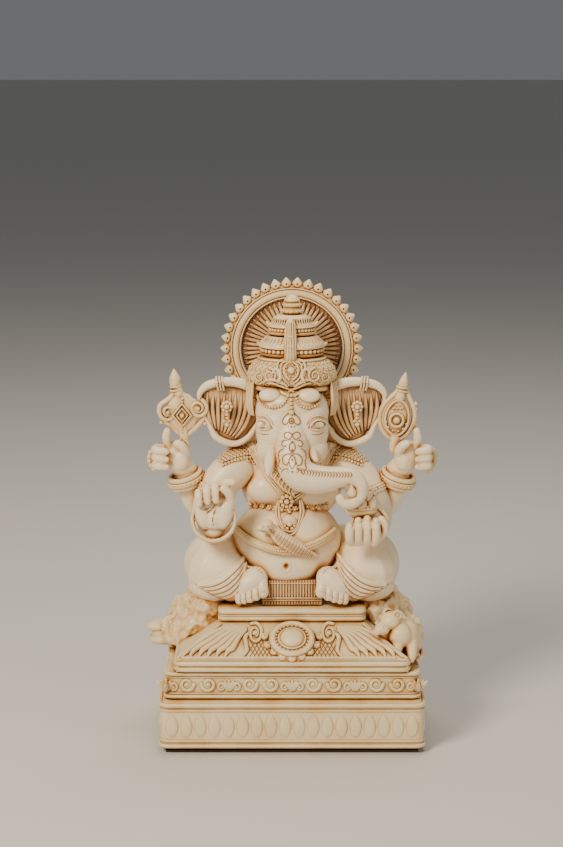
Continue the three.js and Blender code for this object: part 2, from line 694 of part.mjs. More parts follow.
// ---------------------------------------------------------------- rear arms and what they hold
function rearArms() {
  const near = ['chest', 'belly', 'right_leg', 'left_leg', 'collar', 'front_arm_right', 'front_arm_left'];
  for (const [side, word] of [[-1, 'right'], [1, 'left']]) {
    const wrist = [side * (rearHandReach - 2), chest.y - 5, shoulderLevel - 9];
    const palm = [side * (rearHandReach + 5), chest.y - 8, shoulderLevel + 5];
    const elbow = [side * (rearHandReach - 12), chest.y + 2, shoulderLevel - 29];
    piece(`rear_arm_${word}`, ivory, (grow) => join([
      limb([
        [side * (shoulderHalfWidth + 3), chest.y + 4, shoulderLevel - 3, 9.5],
        [side * (rearHandReach - 20), chest.y + 4, shoulderLevel - 19, 9.5],
        [...elbow, 9],
      ], grow, 9, 2),
      limb([[...elbow, 9], [...wrist, wristRadius + 0.8]], grow, 9, 1),
    ]), near);
    piece(`bangle_${word}`, carved, (grow) => (
      ring([wrist[0], wrist[1], wrist[2] - 1], [side * 0.3, -0.2, 1], wristRadius + 2, bangleTube, grow)
    ), [...near, `rear_arm_${word}`]);
    piece(`rear_hand_${word}`, ivory, (grow) => {
      const fingers = [0, 1, 2].map((index) => limb([
        [palm[0] + side * 7, palm[1] - 2, palm[2] + 4 - index * 5, fingerRadius],
        [palm[0] + side * 12, palm[1] - 5, palm[2] + 4.5 - index * 5, fingerRadius],
        [palm[0] + side * 6, palm[1] - 8.5, palm[2] + 4 - index * 5, fingerRadius - 0.2],
      ], grow, 6, 3));
      const pointer = limb([
        [palm[0] + side * 5, palm[1] - 2, palm[2] + 6, fingerRadius],
        [palm[0] + side * 6, palm[1] - 4, palm[2] + 13, fingerRadius - 0.4],
      ], grow, 6, 1);
      const heel = limb([
        [wrist[0], wrist[1], wrist[2] + 3, wristRadius],
        [palm[0] - side * 2, palm[1], palm[2] - 3, wristRadius],
      ], grow, 8, 1);
      return join([ball(palm, [10, 6, 9], grow, 8), heel, pointer, ...fingers]);
    }, [...near, `rear_arm_${word}`, `bangle_${word}`]);
    piece(`noose_${word}`, carved, (grow) => limb([
      [palm[0] + side * 8, palm[1] + 4, palm[2] + 3, 2.6],
      [palm[0] + side * 14, palm[1] + 2, palm[2] - 2, 3],
      [palm[0] + side * 13, palm[1] + 1, palm[2] - 9, 2.4],
    ], grow, 7, 4), [...near, `rear_hand_${word}`, `bangle_${word}`, `rear_arm_${word}`]);
  }

  const gripLevel = shoulderLevel + 9;
  const toolFront = chest.y - 12;
  const axeMiddle = -rearHandReach + 1;
  piece('axe', carved, (grow) => plate([
    [axeMiddle - 4, gripLevel - 2],
    [axeMiddle + 4, gripLevel - 2],
    [axeMiddle + 7, gripLevel + 9],
    [axeMiddle + 15, gripLevel + 24],
    [axeMiddle + 12, gripLevel + 29],
    [axeMiddle + 3, gripLevel + 30],
    [axeMiddle - 3, gripLevel + 42],
    [axeMiddle - 5, gripLevel + 48],
    [axeMiddle - 8, gripLevel + 41],
    [axeMiddle - 9, gripLevel + 33],
    [axeMiddle - 17, gripLevel + 27],
    [axeMiddle - 16, gripLevel + 19],
    [axeMiddle - 8, gripLevel + 11],
  ], toolFront, toolThickness, grow), ['rear_hand_right', 'noose_right', 'ear_right']);
  const goadMiddle = rearHandReach - 4;
  piece('goad', carved, (grow) => plate([
    [goadMiddle - 4, gripLevel - 2],
    [goadMiddle + 4, gripLevel - 2],
    [goadMiddle + 8, gripLevel + 8],
    [goadMiddle + 13, gripLevel + 18],
    [goadMiddle + 13, gripLevel + 27],
    [goadMiddle + 8, gripLevel + 36],
    [goadMiddle + 6, gripLevel + 46],
    [goadMiddle + 2, gripLevel + 38],
    [goadMiddle - 6, gripLevel + 31],
    [goadMiddle - 11, gripLevel + 21],
    [goadMiddle - 8, gripLevel + 10],
  ], toolFront, toolThickness, grow), ['rear_hand_left', 'noose_left', 'ear_left']);
}

plinth();
flanks();
body();
headAndFace();
crown();
halo();
frontArms();
rearArms();

export default idol;
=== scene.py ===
import math

import bpy
from mathutils import Euler, Matrix, Vector
from mathutils.bvhtree import BVHTree


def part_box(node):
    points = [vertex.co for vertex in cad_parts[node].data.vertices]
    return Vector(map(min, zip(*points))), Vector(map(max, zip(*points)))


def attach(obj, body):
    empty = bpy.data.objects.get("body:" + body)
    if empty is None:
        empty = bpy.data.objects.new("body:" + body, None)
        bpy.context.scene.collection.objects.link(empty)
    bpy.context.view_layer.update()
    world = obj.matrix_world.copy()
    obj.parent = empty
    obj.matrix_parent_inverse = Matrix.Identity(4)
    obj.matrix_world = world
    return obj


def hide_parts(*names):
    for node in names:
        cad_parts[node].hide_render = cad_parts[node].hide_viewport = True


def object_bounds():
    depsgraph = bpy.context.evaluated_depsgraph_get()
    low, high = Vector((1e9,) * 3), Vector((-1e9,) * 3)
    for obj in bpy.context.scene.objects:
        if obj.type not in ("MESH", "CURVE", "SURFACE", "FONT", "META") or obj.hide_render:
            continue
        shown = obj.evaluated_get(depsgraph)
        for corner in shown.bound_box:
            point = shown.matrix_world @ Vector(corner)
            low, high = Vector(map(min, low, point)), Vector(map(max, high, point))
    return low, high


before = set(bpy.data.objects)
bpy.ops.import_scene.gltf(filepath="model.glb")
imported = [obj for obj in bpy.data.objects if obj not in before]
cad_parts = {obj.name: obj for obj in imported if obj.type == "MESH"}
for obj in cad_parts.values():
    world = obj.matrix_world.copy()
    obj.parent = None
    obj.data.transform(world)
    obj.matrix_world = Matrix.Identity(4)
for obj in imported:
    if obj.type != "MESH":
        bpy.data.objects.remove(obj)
cad_low, cad_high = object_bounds()
MM = 0.001
WELD = 0.004  # vertices nearer than this, in mm, become one
FAR = 300  # where rays start, in mm, well outside the figure
FLOOR_SIDE = 60
FLUTES = 58
BUDS = 38
FRONT = Vector((0, 1, 0))
SIDES = ((-1, "right"), (1, "left"))


# ---------------------------------------------------------------- where the frame says things are
def corners(node):
    low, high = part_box(node)
    return low / MM, high / MM


def middle(node):
    low, high = corners(node)
    return (low + high) / 2


CAP_TOP = corners("cap_slab")[1].z
BELLY = middle("belly")
CHEST = middle("chest")
HEAD = middle("head")
BULB = middle("crown_bulb")
HALO = middle("halo_disc")


# ---------------------------------------------------------------- shaping tools
def only(*obs):
    bpy.ops.object.select_all(action="DESELECT")
    for ob in obs:
        ob.select_set(True)
    bpy.context.view_layer.objects.active = obs[0]


def rounded(ob):
    """Shades a piece as one soft surface."""
    only(ob)
    bpy.ops.object.shade_smooth()
    return ob


def off(base, x, y, z, *radius):
    """The point that lies (x, y, z) from a base, with a radius behind it if one is given."""
    return (*(base + Vector((x, y, z))), *radius)


def rose(x, y, z, reach, size, count):
    """A ring of beads that faces forward, as (x, y, z, radius) points."""
    turns = [k * math.pi / (count / 2) for k in range(count)]
    return [(x + reach * math.cos(a), y, z + reach * math.sin(a), size) for a in turns]


def sound(runs):
    """The runs that met enough skin to make a strand."""
    return [run for run in runs if len(run) > 2]


def shaped(ob, at, radii=(1, 1, 1), turn=(0, 0, 0)):
    spin = Euler([math.radians(a) for a in turn])
    ob.data.transform(Matrix.LocRotScale(Vector(at), spin, Vector(radii)))
    return ob


def ball(at, radii, turn=(0, 0, 0), fine=20):
    bpy.ops.mesh.primitive_uv_sphere_add(segments=fine, ring_count=fine // 2, radius=1)
    return shaped(bpy.context.object, at, radii, turn)


def block(low, high):
    bpy.ops.mesh.primitive_cube_add(size=1)
    low, high = Vector(low), Vector(high)
    return shaped(bpy.context.object, (low + high) / 2, high - low)


def hoop(at, radius, tube, turn=(0, 0, 0), squash=(1, 1, 1), fine=40):
    bpy.ops.mesh.primitive_torus_add(
        major_segments=fine, minor_segments=10, major_radius=radius, minor_radius=tube
    )
    return shaped(bpy.context.object, at, squash, turn)


def flowing(points, steps=5, closed=False):
    """A smooth run of points through the given ones; every number of a point is carried along."""
    count = len(points)
    out = []
    for i in range(count if closed else count - 1):
        a, b, c, d = (
            points[k % count] if closed else points[min(max(k, 0), count - 1)]
            for k in range(i - 1, i + 3)
        )
        for s in range(steps):
            t = s / steps
            out.append(tuple(
                0.5 * (2 * q + (r - p) * t + (2 * p - 5 * q + 4 * r - u) * t * t
                       + (3 * q - p - 3 * r + u) * t ** 3)
                for p, q, r, u in zip(a, b, c, d)
            ))
    if not closed:
        out.append(tuple(points[-1]))
    return out


def domed(run):
    """Adds the round ends of a strand."""
    out = list(run)
    for place, ahead in ((0, 1), (-1, -2)):
        end, inner = Vector(out[place][:3]), Vector(out[ahead][:3])
        radius = out[place][3]
        away = (end - inner).normalized()
        extra = [(*(end + away * radius * step), radius * wide)
                 for step, wide in ((0.5, 0.86), (0.85, 0.52), (0.98, 0.15))]
        out = extra[::-1] + out if place == 0 else out + extra
    return out


def strands(runs, sides=8, steps=5, closed=False, ends=True):
    """Round strands through points (x, y, z, radius), all in one mesh."""
    bpy.ops.curve.primitive_nurbs_path_add()
    ob = bpy.context.object
    curve = ob.data
    curve.splines.clear()
    for run in runs:
        run = flowing(run, steps, closed) if steps else list(run)
        if ends and not closed:
            run = domed(run)
        spline = curve.splines.new("POLY")
        spline.points.add(len(run) - 1)
        for point, (x, y, z, radius) in zip(spline.points, run):
            point.co = (x, y, z, 1)
            point.radius = radius
        spline.use_cyclic_u = closed
    curve.dimensions = "3D"
    curve.fill_mode = "FULL"
    curve.bevel_depth = 1
    curve.bevel_resolution = max(0, (sides - 4) // 2)
    curve.use_fill_caps = True
    only(ob)
    bpy.ops.object.convert(target="MESH")
    return bpy.context.object


def limb(points, sides=14, steps=5):
    return strands([points], sides, steps)


def join(parts, name):
    parts = [p for p in parts if p]
    only(*parts)
    if len(parts) > 1:
        bpy.ops.object.join()
    parts[0].name = name
    return parts[0]


def change(ob, kind, **settings):
    """Adds one modifier and applies it."""
    only(ob)
    bpy.ops.object.modifier_add(type=kind)
    modifier = ob.modifiers[-1]
    for key, value in settings.items():
        setattr(modifier, key, value)
    bpy.ops.object.modifier_apply(modifier=modifier.name)
    return ob


def clay(parts, name, grain=0.8, smooth=6, cut=None):
    """Melts overlapping shapes into one skin, as the clay of the master model was."""
    whole = join(parts, name)
    change(whole, "REMESH", mode="VOXEL", voxel_size=grain)
    if cut:
        change(whole, "BOOLEAN", operation="DIFFERENCE", object=cut, solver="EXACT")
        bpy.data.objects.remove(cut)
        change(whole, "REMESH", mode="VOXEL", voxel_size=grain)
    change(whole, "SMOOTH", factor=0.5, iterations=smooth)
    return rounded(whole)


def copies(pattern, places, name):
    """One pattern, copied to each matrix; every copy has its own mesh."""
    made = []
    for place in places:
        ob = bpy.data.objects.new(name, pattern.data.copy())
        bpy.context.scene.collection.objects.link(ob)
        ob.data.transform(place)
        made.append(ob)
    bpy.data.objects.remove(pattern)
    return join(made, name)


def bead_pattern():
    bpy.ops.mesh.primitive_ico_sphere_add(subdivisions=2, radius=1)
    return bpy.context.object


def beads(spots):
    """Beads at (x, y, z, radius)."""
    places = [Matrix.LocRotScale(Vector(s[:3]), None, Vector((s[3],) * 3)) for s in spots]
    return copies(bead_pattern(), places, "beads")


def spaced(run, gap):
    """Points every gap along a run of (x, y, z, ...)."""
    out, left = [], 0.0
    for a, b in zip(run, run[1:]):
        step = (Vector(b[:3]) - Vector(a[:3])).length
        while left <= step:
            t = left / step if step else 0
            out.append(tuple(p + (q - p) * t for p, q in zip(a, b)))
            left += gap
        left -= step
    return out


class Skin:
    """The outside of finished shapes, for laying ornament on them."""

    def __init__(self, *obs):
        graph = bpy.context.evaluated_depsgraph_get()
        self.trees = [BVHTree.FromObject(ob, graph) for ob in obs]

    def meet(self, start, way):
        best = None
        for tree in self.trees:
            hit, normal, _, distance = tree.ray_cast(Vector(start), Vector(way))
            if hit is not None and (best is None or distance < best[2]):
                best = (hit, normal, distance)
        return best

    def front(self, path, lift=0.2, way=FRONT):
        """Lays (x, z, radius) points on the skin as seen from the front."""
        out = []
        for x, z, radius in path:
            met = self.meet(Vector((x, 0, z)) - way * FAR, way)
            if met:
                out.append((*(met[0] + met[1] * lift), radius))
        return out

    def round(self, axis, path, lift=0.2):
        """Lays (degrees from the front, height, radius) points on the skin, towards an upright axis."""
        out = []
        for turn, z, radius in path:
            a = math.radians(turn)
            away = Vector((math.sin(a), -math.cos(a), 0))
            met = self.meet(Vector((axis[0], axis[1], z)) + away * 200, -away)
            if met:
                out.append((*(met[0] + met[1] * lift), radius))
        return out


def turned(profile, low, high, axis_y, fine=48, name="turned"):
    """A turned shape that fills the box from low to high; profile is (share of radius, share of height)."""
    bpy.ops.mesh.primitive_circle_add(vertices=fine, radius=1, fill_type="NGON")
    ob = bpy.context.object
    bpy.ops.object.mode_set(mode="EDIT")
    bpy.ops.mesh.select_all(action="SELECT")
    bpy.ops.transform.resize(value=(profile[0][0],) * 2 + (1,))
    for (wide, level), (next_wide, next_level) in zip(profile, profile[1:]):
        bpy.ops.mesh.extrude_region_move(
            TRANSFORM_OT_translate={"value": (0, 0, next_level - level)}
        )
        bpy.ops.transform.resize(value=(next_wide / wide, next_wide / wide, 1))
    bpy.ops.mesh.select_all(action="SELECT")
    bpy.ops.mesh.normals_make_consistent(inside=False)
    bpy.ops.object.mode_set(mode="OBJECT")
    half = (high - low) / 2
    shaped(ob, ((low.x + high.x) / 2, axis_y, low.z), (half.x, half.y, high.z - low.z))
    ob.name = name
    return ob


def smooth_edges(ob, angle=35):
    only(ob)
    bpy.ops.object.shade_smooth_by_angle(angle=math.radians(angle))
    return ob


def spiral(x, z, start, turns, outer, inner, thick, thin, hand=1, steps=10):
    """A volute in X and Z as (x, z, radius) points, from the outside in."""
    out = []
    count = max(4, int(abs(turns) * steps))
    for i in range(count + 1):
        t = i / count
        a = math.radians(start) + hand * 2 * math.pi * turns * t
        reach = outer + (inner - outer) * t
        out.append((x + reach * math.cos(a), z + reach * math.sin(a), thick + (thin - thick) * t))
    return out


def put(piece, finish, slot, *nodes):
    """Closes a piece, brings it to metres, and hands it to the frame."""
    only(piece)
    bpy.ops.object.mode_set(mode="EDIT")
    bpy.ops.mesh.select_all(action="SELECT")
    bpy.ops.mesh.remove_doubles(threshold=WELD)
    bpy.ops.mesh.normals_make_consistent(inside=False)
    bpy.ops.object.mode_set(mode="OBJECT")
    piece.data.transform(Matrix.Scale(MM, 4))
    piece.data.materials.clear()
    piece.data.materials.append(finish)
    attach(piece, "root")
    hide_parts(*nodes)
    return piece


def hand_in(parts, finish, slot, node):
    """Joins the parts of one node's piece and puts it."""
    return put(join(parts, node), finish, slot, node)


def engraved(runs, name, slot, node):
    """Lines cut in the surface, full of dark glaze; each strand lies nearly flush with the skin."""
    runs = sound(runs)
    return put(join([strands(runs, 6, 3)], name), LINES, slot, node) if runs else None


# ---------------------------------------------------------------- finishes
def colour(code):
    """An sRGB hex colour as the linear one that the shaders take."""
    parts = [int(code[i:i + 2], 16) / 255 for i in (1, 3, 5)]
    return (*(c / 12.92 if c <= 0.04045 else ((c + 0.055) / 1.055) ** 2.4 for c in parts), 1)


def add(tree, kind, links=None, **settings):
    """Adds one node with its settings and links; settings named in_0, in_1 ... are socket values."""
    node = tree.nodes.new(kind)
    for key, value in settings.items():
        if key.startswith("in_"):
            node.inputs[int(key[3:])].default_value = value
        else:
            setattr(node, key, value)
    for socket, source in (links or {}).items():
        tree.links.new(source, node.inputs[socket])
    return node


def dial(node, **values):
    """Sets sockets by name; an underscore stands for a space."""
    for key, value in values.items():
        node.inputs[key.replace("_", " ")].default_value = value


def washed_resin(name, stops, reach, cloud, rough):
    """Marble-dust resin: satin, a little waxy, with a glaze that was wiped off all but the hollows.

    stops are (openness, colour) from the deepest hollow to the open skin, reach is how wide a
    hollow holds glaze in millimetres, and cloud is how uneven the wiping was."""
    finish = bpy.data.materials.new(name)
    finish.use_nodes = True
    tree = finish.node_tree
    shader = tree.nodes["Principled BSDF"]
    where = add(tree, "ShaderNodeTexCoord")
    open_sky = add(tree, "ShaderNodeAmbientOcclusion", samples=12, in_1=reach * MM)
    wiping = add(tree, "ShaderNodeTexNoise", {"Vector": where.outputs["Object"]})
    dial(wiping, Scale=1 / (14 * MM), Detail=3)
    uneven = add(tree, "ShaderNodeMapRange", {0: wiping.outputs["Fac"]})
    dial(uneven, From_Min=0.3, From_Max=0.7, To_Min=-cloud, To_Max=cloud)
    kept = add(tree, "ShaderNodeMath",
               {0: open_sky.outputs["AO"], 1: uneven.outputs["Result"]}, operation="ADD")
    ramp = add(tree, "ShaderNodeValToRGB", {"Fac": kept.outputs[0]})
    places = ramp.color_ramp.elements
    while len(places) < len(stops):
        places.new(0.5)
    for place, (level, code) in zip(places, stops):
        place.position = level
        place.color = colour(code)
    tree.links.new(ramp.outputs["Color"], shader.inputs["Base Color"])
    grain = add(tree, "ShaderNodeTexNoise", {"Vector": where.outputs["Object"]})
    dial(grain, Scale=1 / (1.6 * MM), Detail=2)
    pits = add(tree, "ShaderNodeBump", {"Height": grain.outputs["Fac"]})
    dial(pits, Strength=0.12, Distance=0.25 * MM)
    tree.links.new(pits.outputs["Normal"], shader.inputs["Normal"])
    dial(
        shader, Roughness=rough, IOR=1.5, Subsurface_Weight=0.12, Subsurface_Radius=(1.0, 0.7, 0.4),
        Subsurface_Scale=2.5 * MM
    )
    return finish


# Polished skin of the body: almost bare ivory, with glaze only in the tightest creases.
SKIN = washed_resin("wiped ivory resin", (
    (0.0, "#55290a"), (0.26, "#a86422"), (0.54, "#dba968"), (0.8, "#efd2a0"), (0.985, "#f6e3c0"),
), reach=4, cloud=0.05, rough=0.36)
# Carved jewellery and crown: the glaze lies in every line and yellows the whole surface.
CARVED = washed_resin("glazed carved resin", (
    (0.0, "#4a2508"), (0.3, "#935418"), (0.54, "#c98c40"), (0.78, "#e5c084"), (0.98, "#f0d8aa"),
), reach=4.5, cloud=0.08, rough=0.4)
# Hollows that nobody wiped, such as the halo's dish and the cups of the ears: amber all over.
HOLLOW = washed_resin("unwiped amber resin", (
    (0.0, "#371c08"), (0.3, "#6f3f18"), (0.56, "#a06c34"), (0.8, "#c69a62"), (0.98, "#e2c294"),
), reach=5, cloud=0.1, rough=0.42)
# Glaze left standing in engraved lines: dark brown, and a little wet.
LINES = washed_resin("glaze in engraved lines", (
    (0.0, "#2c1404"), (0.4, "#5a2e0c"), (0.7, "#8a5420"), (0.98, "#a8702f"),
), reach=2, cloud=0.12, rough=0.4)
# Plinth: cast in the same resin, handled more, so it is creamier and more unevenly glazed.
STAND = washed_resin("glazed plinth resin", (
    (0.0, "#4a260a"), (0.3, "#985c20"), (0.56, "#cb984e"), (0.8, "#e3c48c"), (0.98, "#edd8ac"),
), reach=6, cloud=0.11, rough=0.44)


def pressed_felt(name):
    """Pressed wool felt: dull and fibrous, so it hardly shines."""
    finish = bpy.data.materials.new(name)
    finish.use_nodes = True
    tree = finish.node_tree
    shader = tree.nodes["Principled BSDF"]
    where = add(tree, "ShaderNodeTexCoord")
    fibres = add(tree, "ShaderNodeTexNoise", {"Vector": where.outputs["Object"]})
    dial(fibres, Scale=1 / (1.2 * MM), Detail=6)
    ramp = add(tree, "ShaderNodeValToRGB", {"Fac": fibres.outputs["Fac"]})
    ramp.color_ramp.elements[0].color = colour("#33261a")
    ramp.color_ramp.elements[1].color = colour("#5d4a38")
    tree.links.new(ramp.outputs["Color"], shader.inputs["Base Color"])
    fuzz = add(tree, "ShaderNodeBump", {"Height": fibres.outputs["Fac"]})
    dial(fuzz, Strength=0.6, Distance=0.4 * MM)
    tree.links.new(fuzz.outputs["Normal"], shader.inputs["Normal"])
    dial(shader, Roughness=0.95)
    return finish


FELT = pressed_felt("pressed felt")


# ---------------------------------------------------------------- plinth
def slab_edge(low, high, corner, width=1.2):
    """A block with round upright corners and a soft edge."""
    ob = block(low, high)
    only(ob)
    bpy.ops.object.mode_set(mode="EDIT")
    bpy.ops.mesh.select_all(action="DESELECT")
    bpy.ops.object.mode_set(mode="OBJECT")
    for edge in ob.data.edges:
        a, b = (ob.data.vertices[i].co for i in edge.vertices)
        edge.select = abs(a.z - b.z) > 0.1
    bpy.ops.object.mode_set(mode="EDIT")
    bpy.ops.mesh.select_mode(type="EDGE")
    bpy.ops.mesh.bevel(offset=corner, segments=5)
    bpy.ops.object.mode_set(mode="OBJECT")
    if width:
        change(ob, "BEVEL", width=width, segments=3, limit_method="ANGLE")
    return smooth_edges(ob)


def band_run(low, high, z, radius, inset=0.0, corner=4):
    """A closed run round a rectangle at height z, for a bead or roll."""
    x0, x1 = low.x + inset, high.x - inset
    y0, y1 = low.y + inset, high.y - inset
    run = []
    for cx, cy, start in ((x1 - corner, y1 - corner, 0), (x0 + corner, y1 - corner, 90),
                          (x0 + corner, y0 + corner, 180), (x1 - corner, y0 + corner, 270)):
        for extra in range(0, 91, 15):
            a = math.radians(start + extra)
            run.append((cx + corner * math.cos(a), cy + corner * math.sin(a), z, radius))
    return run


def wall_scrolls(low, high, z0, z1, lean, face):
    """C-scrolls with a ball in each eye and small leaves between, along one wall."""
    tall = z1 - z0
    across = face in ("front", "back")
    start, end = (low.x, high.x) if across else (low.y, high.y)
    count = max(4, round((end - start) / (tall * 1.75)) // 2 * 2)
    pitch = (end - start) / count
    runs, balls = [], []

    def on_wall(u, z, r):
        deep = lean * (z - z0) / tall
        if face == "front":
            return (u, low.y + deep, z, r)
        if face == "back":
            return (u, high.y - deep, z, r)
        if face == "right":
            return (low.x + deep, u, z, r)
        return (high.x - deep, u, z, r)

    for i in range(count):
        middle_u = start + pitch * (i + 0.5)
        hand = 1 if i % 2 else -1
        up = (z0 + z1) / 2
        upper = spiral(middle_u - hand * pitch * 0.16, up + tall * 0.04, 90 + 90 * hand, 1.5,
                       tall * 0.44, tall * 0.12, 1.5, 0.9, hand)
        lower = spiral(middle_u + hand * pitch * 0.27, up - tall * 0.14, 90 - 90 * hand, 1.2,
                       tall * 0.31, tall * 0.1, 1.2, 0.7, hand)
        for path in (upper, lower):
            runs.append([on_wall(*p) for p in path])
        balls.append(on_wall(middle_u - hand * pitch * 0.16, up + tall * 0.04, 1.7))
        balls.append(on_wall(middle_u + hand * pitch * 0.27, up - tall * 0.14, 1.2))
        for fan in (-2, -1, 0, 1, 2):
            u = middle_u + hand * pitch * 0.5
            runs.append([
                on_wall(u + fan * 0.4, up - tall * 0.34, 0.9),
                on_wall(u + fan * 1.5, up + tall * 0.02, 1.45),
                on_wall(u + fan * 2.7, up + tall * (0.36 - 0.07 * abs(fan)), 0.5),
            ])
    return [strands(runs, 8, 2), beads(balls)]


def make_plinth():
    low, high = corners("felt_sheet")
    sheet = join([block(low, high)], "felt_sheet")
    change(sheet, "BEVEL", width=0.4, segments=2)
    put(sheet, FELT, "felt", "felt_sheet")

    low, high = corners("foot_slab")
    tall = high.z - low.z
    slab = slab_edge(low, high, 5, 1.5)
    borders = [strands([band_run(low, high, low.z + tall * share, thick, 0.1, 5)], 8, 0, True)
               for share, thick in ((0.1, 1.5), (0.2, 0.8), (0.8, 0.8), (0.9, 1.5))]
    petals = []
    pitch = 8.6
    for face, (a, b) in (("front", (low.x + 7, high.x - 7)), ("back", (low.x + 7, high.x - 7)),
                         ("right", (low.y + 7, high.y - 7)), ("left", (low.y + 7, high.y - 7))):
        count = round((b - a) / pitch)
        for i in range(count + 1):
            u = a + (b - a) * i / count
            at, spin = {
                "front": ((u, low.y + 0.3, low.z + tall / 2), 0),
                "back": ((u, high.y - 0.3, low.z + tall / 2), 180),
                "right": ((low.x + 0.3, u, low.z + tall / 2), -90),
                "left": ((high.x - 0.3, u, low.z + tall / 2), 90),
            }[face]
            petals.append(Matrix.LocRotScale(Vector(at), Euler((0, 0, math.radians(spin))),
                                             Vector((3.9, 1.3, 7.6))))
    row = copies(petal_pattern(), petals, "petals")
    hand_in([slab, row, *borders], STAND, "plinth_resin", "foot_slab")

    low, high = corners("scroll_apron")
    tall = high.z - low.z
    core = slab_edge(low + Vector((1.6, 1.6, 0)), high - Vector((1.6, 1.6, 0)), 4, 0.8)
    trim = [strands([band_run(low, high, z, r, inset, 4)], 8, 0, True)
            for z, r, inset in ((low.z + 1.3, 1.3, 1), (high.z - 1.4, 1.4, 1.4),
                                (low.z + 3.2, 0.6, 1.4), (high.z - 3.4, 0.6, 1.5))]
    scrolls = []
    for face in ("front", "back", "right", "left"):
        scrolls += wall_scrolls(low + Vector((1.5, 1.5, 0)), high - Vector((1.5, 1.5, 0)),
                                low.z + 3.6, high.z - 3.4, 0.2, face)
    hand_in([core, *trim, *scrolls], STAND, "plinth_resin", "scroll_apron")

    low, high = corners("lower_moulding")
    half = (high.z - low.z) / 4
    core = block(low + Vector((half, half, 0)), high - Vector((half, half, 0)))
    rolls = [strands([band_run(low, high, low.z + half * step, half, half, 4)], 14, 0, True)
             for step in (1, 3)]
    bed = smooth_edges(join([core, *rolls], "lower_moulding"), 50)
    put(bed, STAND, "plinth_resin", "lower_moulding")

    low, high = corners("cap_slab")
    tall = high.z - low.z
    inset = Vector((1.3, 1.3, 0))
    core = slab_edge(low + inset, high - inset, 2, 0.3)
    lips = [strands([band_run(low, high, low.z + tall * share, tall * 0.22, tall * 0.22, 2.5)], 12, 0, True)
            for share in (0.23, 0.77)]
    groove_bead = strands([band_run(low, high, low.z + tall / 2, 0.5, 1.1, 2.5)], 8, 0, True)
    cap = smooth_edges(join([core, *lips, groove_bead], "cap_slab"), 50)
    put(cap, STAND, "plinth_resin", "cap_slab")


def petal_pattern():
    """A lotus petal standing upright, a point at its top and a vein down its middle."""
    bpy.ops.mesh.primitive_uv_sphere_add(segments=14, ring_count=10, radius=1)
    ob = bpy.context.object
    for vertex in ob.data.vertices:
        up = vertex.co.z
        vertex.co.x *= 1 - 0.55 * max(0, up) ** 1.5
        if abs(vertex.co.x) < 0.12 and vertex.co.y < 0:
            vertex.co.y *= 0.72
    return rounded(ob)


def sloping_block(node):
    """The block of a CAD node that is wide below and narrow above, with soft edges."""
    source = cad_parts[node]
    low, high = corners(node)
    points = [v.co / MM for v in source.data.vertices]
    foot = [p for p in points if p.z < low.z + 1]
    head = [p for p in points if p.z > high.z - 1]
    ob = block(low, high)
    for vertex in ob.data.vertices:
        ring = head if vertex.co.z > (low.z + high.z) / 2 else foot
        vertex.co.x = (max if vertex.co.x > 0 else min)(p.x for p in ring)
        vertex.co.y = (max if vertex.co.y > (low.y + high.y) / 2 else min)(p.y for p in ring)
    change(ob, "BEVEL", width=0.8, segments=3, limit_method="ANGLE")
    return smooth_edges(ob)


